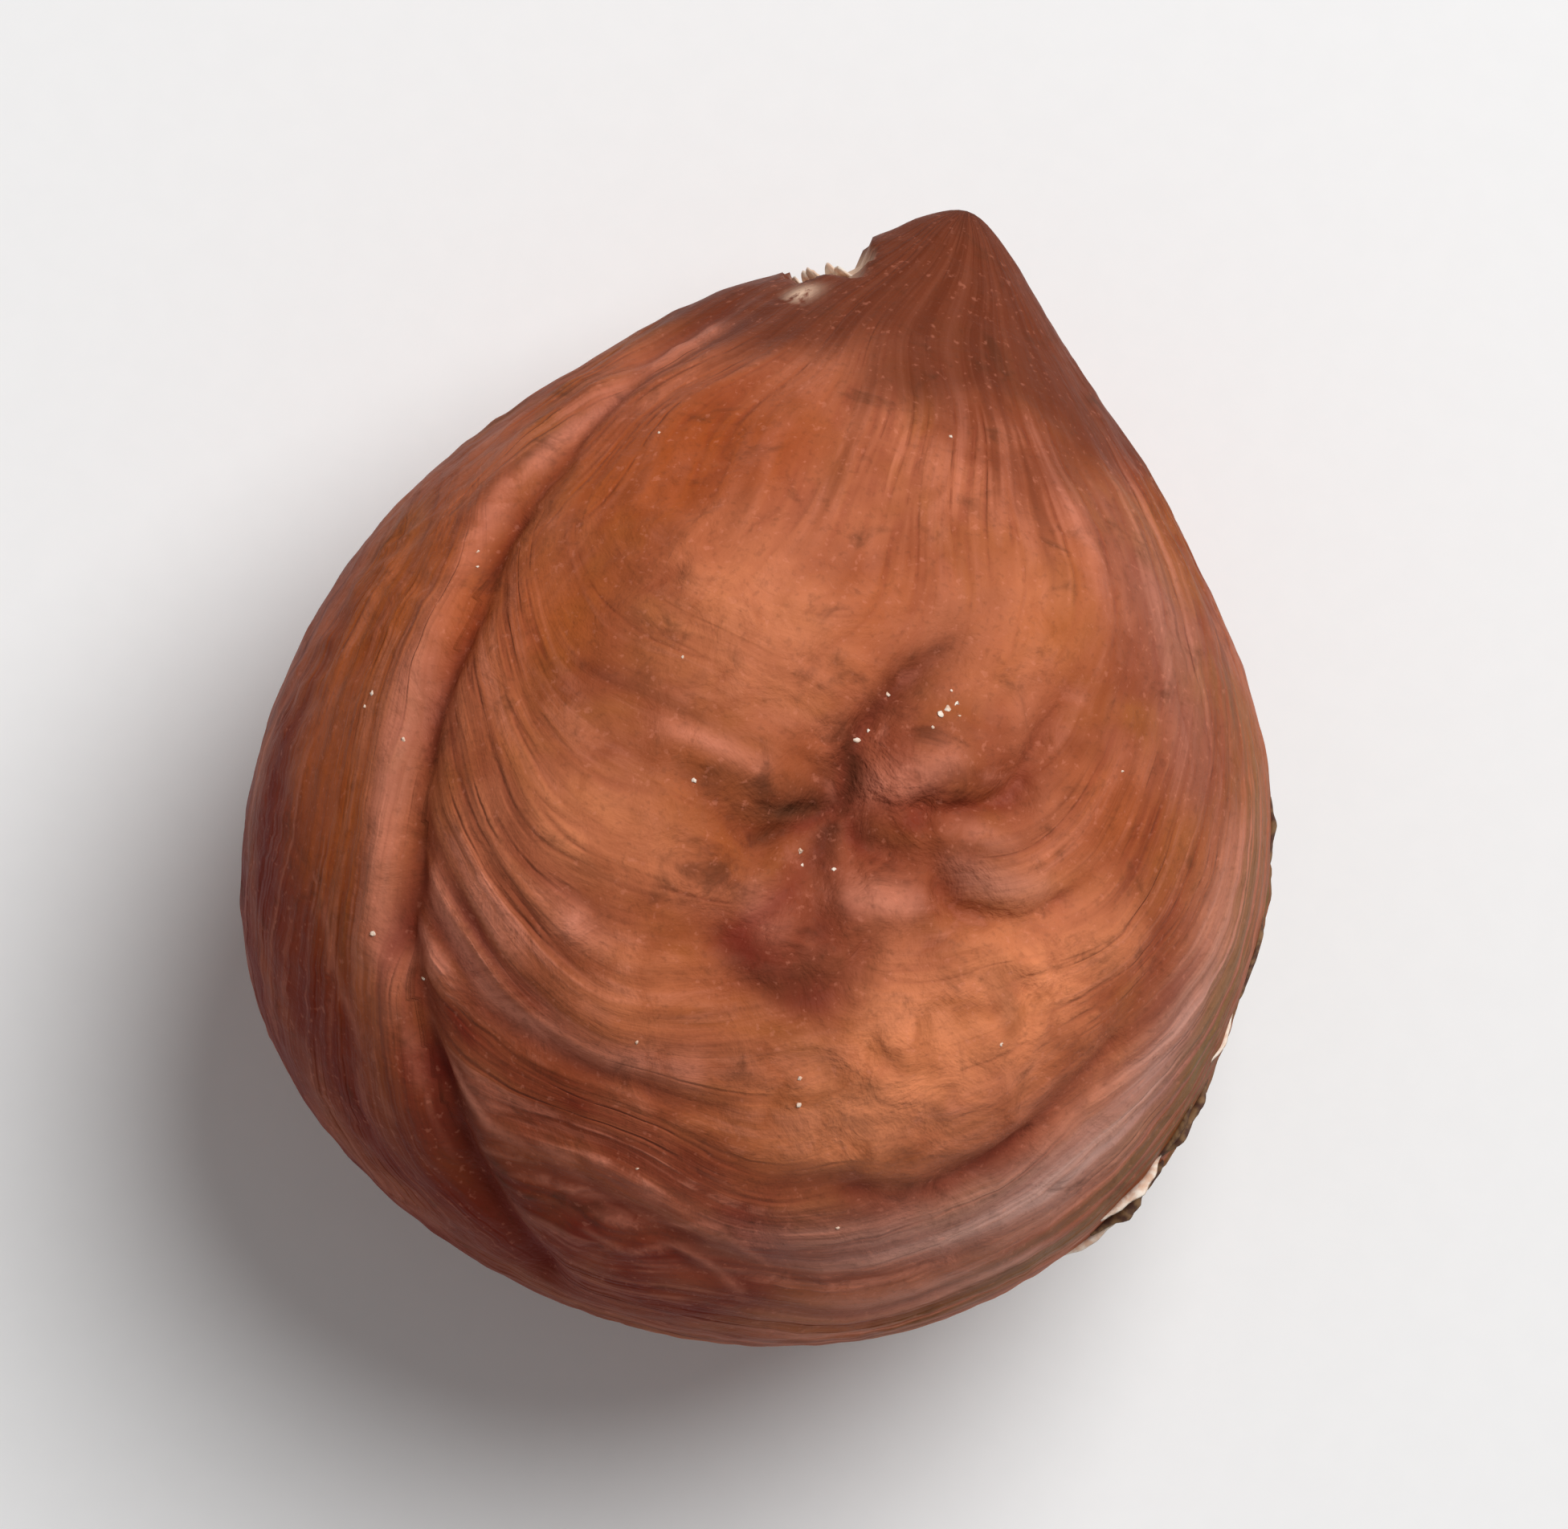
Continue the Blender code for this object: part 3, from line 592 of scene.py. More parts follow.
def hollow_and_bulges(points):
    """The forms of the skin: the hollow with its pit, and the bulges and lumps round it."""
    distance = distance_from(points, HOLLOW_PLACE, UPPER)
    height = -HOLLOW_DEPTH * hill(distance, HOLLOW_WIDTH) - PIT_DEPTH * hill(distance, PIT_WIDTH)
    for bulge in BULGES + LUMPS:
        distance = distance_from(points, (bulge.x, bulge.y), bulge.level)
        height += bulge.height * hill(distance, bulge.width)
    return height


def tip_point():
    direction = heading(TIP_BEARING, 0.0)
    return direction * body_radius(direction[None, :])[0]


def line_places(points):
    """Where each point lies among the growth lines: degrees across and along, and its reach from the tip."""
    offset = tip_point() - points
    reach = np.hypot(offset[:, 1], offset[:, 2])
    across = np.degrees(np.arctan2(-offset[:, 2], offset[:, 1]))
    along = np.degrees(np.arctan2(offset[:, 0], reach))
    return across, along, reach


def along_the_groove(points, across):
    """The degrees across the growth lines, shifted so that those on the crescent lobe run with the groove."""
    path = on_body(smooth_path(FOLDS[0].places), UPPER)
    distance, share, side = near_path(points, path)
    at_groove = line_places(path)[0]
    shift = np.interp(share, np.linspace(0.0, 1.0, len(path)), at_groove) - at_groove[-1]
    shift += LOBE_LINES * distance * (1.0 - ramp(share, 0.7, 1.0))
    return across - (side == FOLDS[0].side) * ramp(share, 0.0, 0.35) * hill(distance, LOBE_WIDTH) * shift


def line_strength(points, reach):
    """How strongly the growth lines stand out: not at all at the tip or in the hollow."""
    patchy = 0.35 + 0.65 * ramp(wander(points, 3.5, 2), -0.4, 0.7)
    clear = ramp(distance_from(points, HOLLOW_PLACE, UPPER), *LINE_CLEAR)
    below = LINE_UNDERNEATH * ramp(-points[:, 2], -1.0, 2.0)
    return ramp(reach, LINE_START, LINE_FULL) * patchy * clear * np.maximum(spotted(points, LINE_ZONES), below)


def fan_places(points):
    """Where each point lies round the tip's axis, in degrees, and how far below the tip."""
    offset = points - tip_point()
    turn = np.degrees(np.arctan2(offset[:, 2], offset[:, 0])) + 5.0 * wander(points, 3.0, 3)
    return turn, -offset[:, 1]


def rib_strength(below):
    middle = 0.5 * (RIB_START + RIB_END)
    return ramp(below, RIB_START, middle) * (1.0 - ramp(below, middle, RIB_END))


def patch_cover(directions, points, margin=0.0):
    """1 on the patch of dry skin, 0 off it, with a ragged border a margin of degrees outside it."""
    angle = degrees_from(directions, heading(PATCH_BEARING, PATCH_RISE)) - margin
    angle += PATCH_RAGGED * (wander(points, 2.2, 4) + 0.4 * wander(points, 1.2, 5))
    angle += 2.0 * wander(points, 0.4, 7)
    return 1.0 - ramp(angle, PATCH_SIZE - 2.5, PATCH_SIZE + 2.5)


def tip_notch(directions, points):
    """1 in the notch at the tip's left side, 0 outside it, with ragged walls."""
    ragged = wander(points, 0.5, 8)
    bearing = np.degrees(np.arctan2(directions[:, 0], directions[:, 1])) + 0.8 * ragged
    rise = np.degrees(np.arcsin(directions[:, 2])) + 2.0 * ragged
    left, right = NOTCH_BEARINGS
    low, high = NOTCH_RISES
    between = ramp(bearing, left - NOTCH_EDGE, left) * (1.0 - ramp(bearing, right, right + NOTCH_EDGE))
    return between * ramp(rise, low, low + 12.0) * (1.0 - ramp(rise, high - 2.0, high + 2.0))


def painted(points, rows):
    """How much of the marks painted along paths each point takes."""
    tone = np.zeros(len(points))
    for row in rows:
        distance, share, _ = near_path(points, on_body(smooth_path(row.places, 3), row.level))
        tone = np.maximum(tone, np.interp(share, (0.0, 0.5, 1.0), row.tones) * hill(distance, row.width))
    return tone


def spotted(points, rows):
    """How much of the marks painted round places each point takes."""
    tone = np.zeros(len(points))
    for row in rows:
        distance = distance_from(points, (row.x, row.y), row.level)
        tone = np.maximum(tone, row.height * hill(distance, row.width))
    return tone


def finished_skin(directions, relief):
    """The skin's points in millimetres, and its tones by name for the material to mix by."""
    points = directions * body_radius(directions)[:, None]
    across, along, reach = line_places(points)
    wandering = along_the_groove(points, across) + LINE_WANDER * wander(points, 3.0, 1)
    strength = line_strength(points, reach)
    turn, below = fan_places(points)
    cover = patch_cover(directions, points)
    notch = tip_notch(directions, points)
    rolls, valleys, seams = folds(wavering(points, WAVER), FOLDS)
    _, creases, crease_seams = folds(wavering(points, 0.5 * WAVER), CREASES)

    phase = 2.0 * np.pi * wandering / LINE_TILT + 0.8 * wander(points, 1.6, 21)
    broad = np.cos(phase) + 0.3 * np.cos(2.0 * phase + 0.9)
    run = np.column_stack((wandering / (3.0 * HAIR_TILT), along / HAIR_LENGTH, 0.0 * along))
    hair_phase = 2.0 * np.pi * wandering / HAIR_TILT + 3.0 * wander(run, 1.0, 22)
    hair = np.exp(1.6 * (np.cos(hair_phase) - 1.0)) * (0.65 + 0.5 * wander(run * (3.0, 1.0, 1.0), 1.0, 23))
    ribs = np.cos(RIBS * np.radians(turn))
    grain = wander(points, 0.4, 24)
    wrinkles = 1.0 - 2.0 * np.abs(wander(wavering(points, 0.3), 0.8, 25))

    crumple = spotted(wavering(points, 0.5), CRUMPLES)
    hair_strength = ramp(reach, LINE_START, LINE_FULL) * (0.2 + 0.8 * np.clip(strength, 0.0, 1.3))
    hair_strength *= 1.0 - crumple
    rough_patch = 1.0 + 0.5 * wander(points, 1.4, 6) + 0.35 * wander(points, 0.35, 26)
    height = hollow_and_bulges(points) + rolls - valleys - creases - NOTCH_DEPTH * notch
    height += relief.line_height / MM * strength * broad
    height += relief.hair_height / MM * hair_strength * (2.0 * hair - 0.7)
    height += relief.rib_height / MM * rib_strength(below) * ribs
    height += relief.wrinkle_height / MM * (0.15 + crumple) * wrinkles
    height += relief.grain_height / MM * grain
    height += relief.patch_height / MM * cover * rough_patch

    skin = points + directions * height[:, None]
    skin[:, 2] = np.maximum(skin[:, 2], FOOT_LEVEL)

    turn_angle = np.radians(turn)
    tones = {
        # painted shade along the seams of the folds and creases
        "fold_shade": np.maximum(seams, crease_seams),
        # painted shade in the valleys of the growth lines
        "groove_shade": hair_strength * np.clip(0.7 - 2.6 * hair - 0.7 * broad, 0.0, 1.0),
        # painted sheen on the crests of the growth lines
        "crests": hair_strength * ramp(strength, 0.3, 0.9) * np.clip(1.8 * hair - 0.6 + 0.7 * broad, 0.0, 1.0),
        "fray": painted(wavering(points, 0.3), FRAYS),
        "lined": np.clip(strength, 0.0, 1.0) * (1.0 - crumple),
        "crumple": crumple,
        "stain": np.clip(painted(wavering(points, 0.2), STAINS), 0.0, 1.0),
        # painted shade: maroon spots and bands where shade falls
        "shade": np.maximum(spotted(wavering(points, 0.5), MAROON_SHADE_SPOTS), painted(wavering(points, 0.3), MAROON_SHADE_BANDS)),
        # mauve skin with a painted sheen along the rims and on lump tops
        "mauve_sheen": painted(points, MAUVE_SHEENS),
        # painted highlights where the bulges face the light
        "orange_highlight": spotted(points, ORANGE_HIGHLIGHTS),
        "amber": spotted(wavering(points, 0.5), AMBERS),
        "tip": 1.0 - ramp(np.linalg.norm(wavering(points, 0.5) - tip_point(), axis=1), 3.6, 5.6),
        # painted sheen on crests, the lobe's edge and lump tops
        "painted_sheen": painted(wavering(points, 0.12), SHEEN_STROKES),
        "dry": patch_cover(directions, points, 3.0),
        "torn": np.maximum(notch, hill(distance_from(wavering(points, 0.1), TORN_PLACE, UPPER), 0.22)),
        "fan": 1.0 - ramp(below, 4.0, 8.5),
    }
    flows = {
        "rings": np.column_stack((wandering, along, 0.0 * along)),
        "rays": np.column_stack((np.cos(turn_angle), np.sin(turn_angle), below)),
    }
    return skin, tones, flows


def seated(points):
    """The points in metres, moved and shrunk by a hair to stand in the box of the frame's kernel."""
    low, high = (np.array(corner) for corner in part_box("kernel"))
    bottom, top = points.min(axis=0), points.max(axis=0)
    scale = min(1.0, *((high - low) / MM / (top - bottom)))
    middle = np.array(((bottom[0] + top[0]) / 2.0, (bottom[1] + top[1]) / 2.0, bottom[2]))
    rest = np.array(((low[0] + high[0]) / 2.0, (low[1] + high[1]) / 2.0, low[2]))
    return (points - middle) * scale * MM + rest


def ball(cells):
    """A unit ball of even faces: a cube's grid drawn out to it."""
    bm = bmesh.new()
    bmesh.ops.create_cube(bm, size=2.0)
    bmesh.ops.subdivide_edges(bm, edges=bm.edges[:], cuts=cells - 1, use_grid_fill=True)
    for vertex in bm.verts:
        for axis in range(3):
            vertex.co[axis] = np.tan(vertex.co[axis] * np.pi / 4.0)
        vertex.co.normalize()
    return bm


def show(name, bm, *materials):
    """A piece of the nut from a finished bmesh, riding on the frame's only body."""
    mesh = bpy.data.meshes.new(name)
    bm.to_mesh(mesh)
    bm.free()
    for material in materials:
        mesh.materials.append(material)
    mesh.shade_smooth()
    piece = bpy.data.objects.new(name, mesh)
    bpy.context.scene.collection.objects.link(piece)
    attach(piece, "root")
    return piece


def finished_kernel():
    kernel = bpy.data.objects.get("hazelnut_kernel")
    if kernel is None:
        raise RuntimeError("the loose bits lie on the kernel, so the kernel comes first")
    return kernel


def met(kernel, start, way):
    """Where a line from the start meets the kernel, and the kernel's outward direction there."""
    found, place, normal, _ = kernel.ray_cast(start, way)
    if not found:
        raise RuntimeError("a loose bit lies beside the kernel")
    return place, normal


def add_sliver(bm, kernel, sliver, steps=20):
    """A thin curled ribbon whose ends lie on the kernel and whose outer edge stands off it."""
    middle = Vector(kernel["middle"])
    low, high = (Vector(corner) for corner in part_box("kernel"))
    spots = []
    for step in range(steps + 1):
        share = step / steps
        bearing = sliver.start[0] + share * (sliver.end[0] - sliver.start[0])
        rise = sliver.start[1] + share * (sliver.end[1] - sliver.start[1])
        out = Vector(heading(bearing, rise))
        spots.append(met(kernel, middle + 12.0 * MM * out, -out))
    rows = []
    for step, (place, normal) in enumerate(spots):
        share = step / steps
        run = spots[min(step + 1, steps)][0] - spots[max(step - 1, 0)][0]
        across = run.cross(normal).normalized()
        if across.z < 0.0:
            across.negate()
        ragged = 1.0 + 0.5 * noise.noise(place / (0.2 * MM))
        bow = math.sin(math.pi * share)
        width = sliver.width * MM * ragged * math.sqrt(max(bow, 0.02))
        lift = sliver.lift * MM * ragged * (0.15 + bow)
        inner = place - 0.03 * MM * normal
        outer = place + width * across + lift * normal
        thick = 0.03 * MM * (across - normal).normalized()
        corners = (inner, outer, outer + thick, inner + thick)
        kept = [Vector(max(a, min(b, c)) for a, b, c in zip(low, high, corner)) for corner in corners]
        rows.append([bm.verts.new(corner) for corner in kept])
    faces = [bm.faces.new(rows[0]), bm.faces.new(reversed(rows[-1]))]
    for first, second in zip(rows[:-1], rows[1:]):
        for index in range(4):
            after = (index + 1) % 4
            faces.append(bm.faces.new((first[index], second[index], second[after], first[after])))
    for face in faces:
        face.material_index = sliver.flesh
    bmesh.ops.recalc_face_normals(bm, faces=faces)


class Painter:
    """Adds nodes to a material and joins them, so that a finish reads as a list of steps."""

    def __init__(self, name):
        self.material = bpy.data.materials.new(name)
        self.material.use_nodes = True
        self.tree = self.material.node_tree
        self.surface = self.tree.nodes["Principled BSDF"]

    def node(self, kind, **settings):
        made = self.tree.nodes.new(kind)
        for name, value in settings.items():
            setattr(made, name, value)
        return made

    def feed(self, socket, value):
        if isinstance(value, bpy.types.NodeSocket):
            self.tree.links.new(value, socket)
        else:
            socket.default_value = value

    def tone(self, name):
        """A named value of the mesh."""
        return self.node("ShaderNodeAttribute", attribute_name=name).outputs["Fac"]

    def flow(self, name, scale):
        """A named vector of the mesh, stretched."""
        source = self.node("ShaderNodeAttribute", attribute_name=name).outputs["Vector"]
        mapping = self.node("ShaderNodeMapping")
        self.feed(mapping.inputs["Vector"], source)
        mapping.inputs["Scale"].default_value = scale
        return mapping.outputs["Vector"]

    def place(self):
        return self.node("ShaderNodeTexCoord").outputs["Object"]

    def noise(self, vector, scale, detail=3.0, roughness=0.5, distortion=0.0):
        made = self.node("ShaderNodeTexNoise")
        self.feed(made.inputs["Vector"], vector)
        made.inputs["Scale"].default_value = scale
        made.inputs["Detail"].default_value = detail
        made.inputs["Roughness"].default_value = roughness
        made.inputs["Distortion"].default_value = distortion
        return made.outputs["Fac"]

    def spread(self, value, low, high, out_low=0.0, out_high=1.0):
        """The value's run from low to high, smoothly, as out_low to out_high."""
        made = self.node("ShaderNodeMapRange", interpolation_type="SMOOTHSTEP")
        self.feed(made.inputs["Value"], value)
        for name, number in zip(("From Min", "From Max", "To Min", "To Max"), (low, high, out_low, out_high)):
            made.inputs[name].default_value = number
        return made.outputs["Result"]

    def maths(self, operation, *values, clamp=False):
        made = self.node("ShaderNodeMath", operation=operation, use_clamp=clamp)
        for socket, value in zip(made.inputs, values):
            self.feed(socket, value)
        return made.outputs[0]

    def ridges(self, value, level, width):
        """1 along the thin lines where the value crosses a level, 0 off them."""
        off = self.maths("ABSOLUTE", self.maths("SUBTRACT", value, level))
        return self.spread(off, width, 0.0)

    def mix(self, share, first, second):
        """One colour turned into another by a share."""
        made = self.node("ShaderNodeMix", data_type="RGBA")
        self.feed(made.inputs["Factor"], share)
        self.feed(made.inputs["A"], first)
        self.feed(made.inputs["B"], second)
        return made.outputs["Result"]

    def bump(self, height, distance):
        made = self.node("ShaderNodeBump")
        made.inputs["Distance"].default_value = distance
        self.feed(made.inputs["Height"], height)
        return made.outputs["Normal"]


def opaque(colour):
    return (*colour, 1.0)


def mixed_pair(painter, share, first, second):
    """One value turned into another by a share."""
    made = painter.node("ShaderNodeMix", data_type="FLOAT")
    painter.feed(made.inputs["Factor"], share)
    painter.feed(made.inputs["A"], first)
    painter.feed(made.inputs["B"], second)
    return made.outputs["Result"]


def skin_material(tones):
    """The brown skin: warm orange with painted highlights on its bulges, maroon painted shade in its furrows,
    valleys and round the left rim, pale painted sheen on its crests, dull mauve in bands with a painted sheen,
    fibrous where dry.
    """
    paint = Painter("hazelnut skin")
    place = paint.place()
    cloud = paint.noise(place, 1.0 / (3.2 * MM), detail=4.0, roughness=0.55)
    warmth = paint.noise(place, 1.0 / (1.9 * MM), detail=3.0, roughness=0.5, distortion=0.6)
    mottle = paint.noise(place, 1.0 / (0.8 * MM), detail=5.0, roughness=0.62, distortion=0.5)
    pores = paint.noise(place, 1.0 / (0.12 * MM), detail=2.0, roughness=0.6)
    fan, crumple, lined = paint.tone("fan"), paint.tone("crumple"), paint.tone("lined")
    rings = paint.noise(paint.flow("rings", (1.0 / 1.2, 1.0 / 24.0, 1.0)), 1.0, detail=4.0, roughness=0.6)
    rays = paint.noise(paint.flow("rays", (8.0, 8.0, 0.16)), 1.0, detail=4.0, roughness=0.6)
    streaks = mixed_pair(paint, fan, rings, rays)
    # the painted shade in the seams of the folds and creases
    fold_shade = paint.tone("fold_shade")
    streaks = mixed_pair(paint, paint.maths("MULTIPLY_ADD", crumple, 0.85, fold_shade, clamp=True), streaks, mottle)
    crinkle = paint.noise(place, 1.0 / (0.9 * MM), detail=4.0, roughness=0.55, distortion=0.9)
    ring_lines = paint.noise(paint.flow("rings", (1.0 / 3.2, 1.0 / 40.0, 1.0)), 1.0, detail=3.0, roughness=0.55)
    ray_lines = paint.noise(paint.flow("rays", (8.0, 8.0, 0.16)), 1.0, detail=2.5, roughness=0.5)
    # a painted highlight along each ridge, and a painted shadow beside it
    sheen_lines = mixed_pair(paint, fan, paint.ridges(ring_lines, 0.52, 0.04), paint.ridges(ray_lines, 0.55, 0.06))
    shadow_lines = mixed_pair(paint, fan, paint.ridges(ring_lines, 0.44, 0.04), paint.ridges(ray_lines, 0.45, 0.05))
    faint = paint.spread(mottle, 0.36, 0.58)
    off_tip = paint.maths("MULTIPLY_ADD", paint.tone("tip"), -0.75, 1.0)

    colour = paint.mix(paint.spread(cloud, 0.38, 0.6), opaque(tones.brown), opaque(tones.tan))
    unlined = paint.maths("MULTIPLY_ADD", lined, -0.8, 1.0)
    golden = paint.maths("MULTIPLY", unlined, paint.spread(warmth, 0.45, 0.68, 0.0, 0.7))
    colour = paint.mix(golden, colour, opaque(tones.golden))
    colour = paint.mix(paint.spread(streaks, 0.46, 0.28, 0.0, 0.4), colour, opaque(tones.blush_and_sheen))
    amber = paint.maths("MULTIPLY", paint.tone("amber"), paint.spread(mottle, 0.3, 0.6, 0.7, 1.0))
    colour = paint.mix(amber, colour, opaque(tones.amber))
    colour = paint.mix(paint.spread(streaks, 0.48, 0.68, 0.0, 0.6), colour, opaque(tones.chestnut))
    # painted highlights where the bulges face the light
    orange_highlight = paint.maths("MULTIPLY", paint.tone("orange_highlight"), paint.spread(mottle, 0.3, 0.58, 0.35, 1.0))
    colour = paint.mix(orange_highlight, colour, opaque(tones.orange))
    # painted shade from the maroon spots and bands
    shade = paint.maths("MULTIPLY", paint.tone("shade"), paint.spread(warmth, 0.3, 0.6, 0.75, 1.0))
    colour = paint.mix(shade, colour, opaque(tones.maroon))
    # mauve skin with a painted sheen
    mauve_sheen = paint.maths("MULTIPLY", paint.tone("mauve_sheen"), paint.spread(streaks, 0.60, 0.38, 0.6, 1.0))
    colour = paint.mix(mauve_sheen, colour, opaque(tones.mauve))
    tip = paint.maths("MULTIPLY", paint.tone("tip"), paint.spread(streaks, 0.36, 0.64, 0.86, 1.0))
    colour = paint.mix(tip, colour, opaque(tones.chestnut))
    # painted shade in the valleys of the growth lines
    groove_shade = paint.maths("MULTIPLY", paint.tone("groove_shade"), paint.spread(warmth, 0.3, 0.6, 0.55, 0.8), clamp=True)
    colour = paint.mix(groove_shade, colour, opaque(tones.maroon))
    # painted sheen on the crests of the growth lines
    crests = paint.maths("MULTIPLY", paint.tone("crests"), paint.spread(mottle, 0.36, 0.6, 0.4, 1.0), clamp=True)
    colour = paint.mix(crests, colour, opaque(tones.blush_and_sheen))
    clear = paint.maths("MULTIPLY_ADD", fold_shade, -2.0, 1.0, clamp=True)
    # painted shadow beside the ridges
    dark = paint.maths("MULTIPLY", shadow_lines, paint.maths("ADD", faint, lined, clamp=True))
    smooth = paint.maths("ADD", paint.maths("MULTIPLY", crumple, -0.8), paint.maths("MULTIPLY", mauve_sheen, -0.9))
    dark = paint.maths("MULTIPLY", dark, paint.maths("ADD", smooth, off_tip, clamp=True))
    dark = paint.maths("MULTIPLY", dark, clear)
    share = paint.maths("MULTIPLY", dark, 0.28)
    colour = paint.mix(share, colour, opaque(tones.maroon))
    # painted highlight along the ridges, joined by the painted sheen strokes
    pale = paint.maths("MULTIPLY", sheen_lines, paint.maths("MULTIPLY_ADD", lined, 0.6, 0.15))
    pale = paint.maths("MULTIPLY", pale, paint.maths("MULTIPLY", faint, off_tip))
    pale = paint.maths("MULTIPLY", pale, paint.maths("MULTIPLY_ADD", crumple, -0.8, clear, clamp=True))
    # painted sheen strokes on crests, the lobe's edge and lump tops
    sheened = paint.maths("MULTIPLY", paint.tone("painted_sheen"), paint.spread(mottle, 0.34, 0.56, 0.35, 1.0))
    pale = paint.maths("MAXIMUM", pale, sheened)
    colour = paint.mix(pale, colour, opaque(tones.blush_and_sheen))
    # painted shade in the seams of the folds and creases
    colour = paint.mix(paint.maths("MULTIPLY", fold_shade, 0.6), colour, opaque(tones.maroon))
    fray = paint.maths("MULTIPLY", paint.tone("fray"), paint.spread(rings, 0.42, 0.55))
    colour = paint.mix(fray, colour, opaque(tones.dry))
    stain = paint.maths("MULTIPLY", paint.tone("stain"), paint.spread(mottle, 0.3, 0.6, 0.45, 0.95), clamp=True)
    colour = paint.mix(stain, colour, opaque(tones.umber))
    colour = paint.mix(paint.spread(mottle, 0.56, 0.76, 0.0, 0.5), colour, opaque(tones.umber))
    colour = paint.mix(paint.spread(pores, 0.54, 0.74, 0.0, 0.2), colour, opaque(tones.umber))
    colour = paint.mix(paint.spread(pores, 0.40, 0.26, 0.0, 0.2), colour, opaque(tones.blush_and_sheen))
    dry = paint.maths("MULTIPLY", paint.tone("dry"), paint.spread(rings, 0.36, 0.56, 0.2, 1.0))
    colour = paint.mix(dry, colour, opaque(tones.dry))
    torn = paint.maths("MULTIPLY", paint.tone("torn"), paint.spread(mottle, 0.42, 0.5))
    colour = paint.mix(torn, colour, opaque(tones.straw))

    paint.feed(paint.surface.inputs["Base Color"], colour)
    dull = paint.maths("MAXIMUM", paint.tone("dry"), mauve_sheen)
    rough = mixed_pair(paint, dull, tones.gloss, tones.dull)
    rough = paint.maths("ADD", rough, paint.spread(mottle, 0.3, 0.7, -0.06, 0.08))
    paint.feed(paint.surface.inputs["Roughness"], rough)
    paint.surface.inputs["Specular IOR Level"].default_value = 0.03
    lines = paint.maths("SUBTRACT", pale, dark)
    crinkles = paint.maths("MULTIPLY", crinkle, crumple)
    relief = 0.0
    for value, height in ((streaks, 0.05), (lines, 0.02), (crinkles, 0.16), (mottle, 0.05), (pores, 0.01)):
        relief = paint.maths("MULTIPLY_ADD", value, height, relief)
    paint.feed(paint.surface.inputs["Normal"], paint.bump(relief, MM))
    return paint.material


def flesh_material(tones):
    """The pale flesh of crumbs and torn edges."""
    paint = Painter("pale flesh")
    grain = paint.noise(paint.place(), 1.0 / (0.12 * MM), detail=3.0)
    colour = paint.mix(paint.spread(grain, 0.35, 0.65), opaque(tones.cream), opaque(tones.straw))
    paint.feed(paint.surface.inputs["Base Color"], colour)
    paint.surface.inputs["Roughness"].default_value = 0.6
    paint.feed(paint.surface.inputs["Normal"], paint.bump(grain, 0.01 * MM))
    return paint.material


def husk_material(tones):
    """The dark fibrous skin of the loose slivers."""
    paint = Painter("dark husk")
    fibres = paint.noise(paint.place(), 1.0 / (0.15 * MM), detail=3.0)
    colour = paint.mix(paint.spread(fibres, 0.35, 0.65), opaque(tones.umber), opaque(tones.dry))
    paint.feed(paint.surface.inputs["Base Color"], colour)
    paint.surface.inputs["Roughness"].default_value = 0.75
    paint.feed(paint.surface.inputs["Normal"], paint.bump(fibres, 0.01 * MM))
    return paint.material


def floor_material(stage):
    paint = Painter("pale floor")
    tooth = paint.noise(paint.place(), 1.0 / (0.5 * MM), detail=2.0)
    colour = paint.mix(paint.spread(tooth, 0.3, 0.7, 0.0, 0.02), opaque(stage.floor_colour), (0.5, 0.5, 0.5, 1.0))
    paint.feed(paint.surface.inputs["Base Color"], colour)
    paint.surface.inputs["Roughness"].default_value = 0.7
    return paint.material


class HazelnutRelief(bpy.types.PropertyGroup):
    """How fine the skin is, and how far its lines and folds stand out."""

    cells: IntProperty(
        name="Cells",
        description="Faces along each side of the six grids that make the ball",
        default=128, min=16, max=128,
    )
    line_height: FloatProperty(
        name="Broad lines", description="Height of the broad growth lines",
        default=0.035 * MM, unit="LENGTH", precision=6,
    )
    hair_height: FloatProperty(
        name="Fine lines", description="Height of the fine growth lines between the broad ones",
        default=0.045 * MM, unit="LENGTH", precision=6,
    )
    rib_height: FloatProperty(
        name="Ribs", description="Height of the ribs that fan out from the tip",
        default=0.045 * MM, unit="LENGTH", precision=6,
    )
    wrinkle_height: FloatProperty(
        name="Wrinkles", description="Height of the small wrinkles round the hollow",
        default=0.06 * MM, unit="LENGTH", precision=6,
    )
    grain_height: FloatProperty(
        name="Grain", description="Height of the skin's fine unevenness",
        default=0.010 * MM, unit="LENGTH", precision=6,
    )
    patch_height: FloatProperty(
        name="Dry patch", description="How far the patch of dry skin stands out",
        default=0.06 * MM, unit="LENGTH", precision=6,
    )


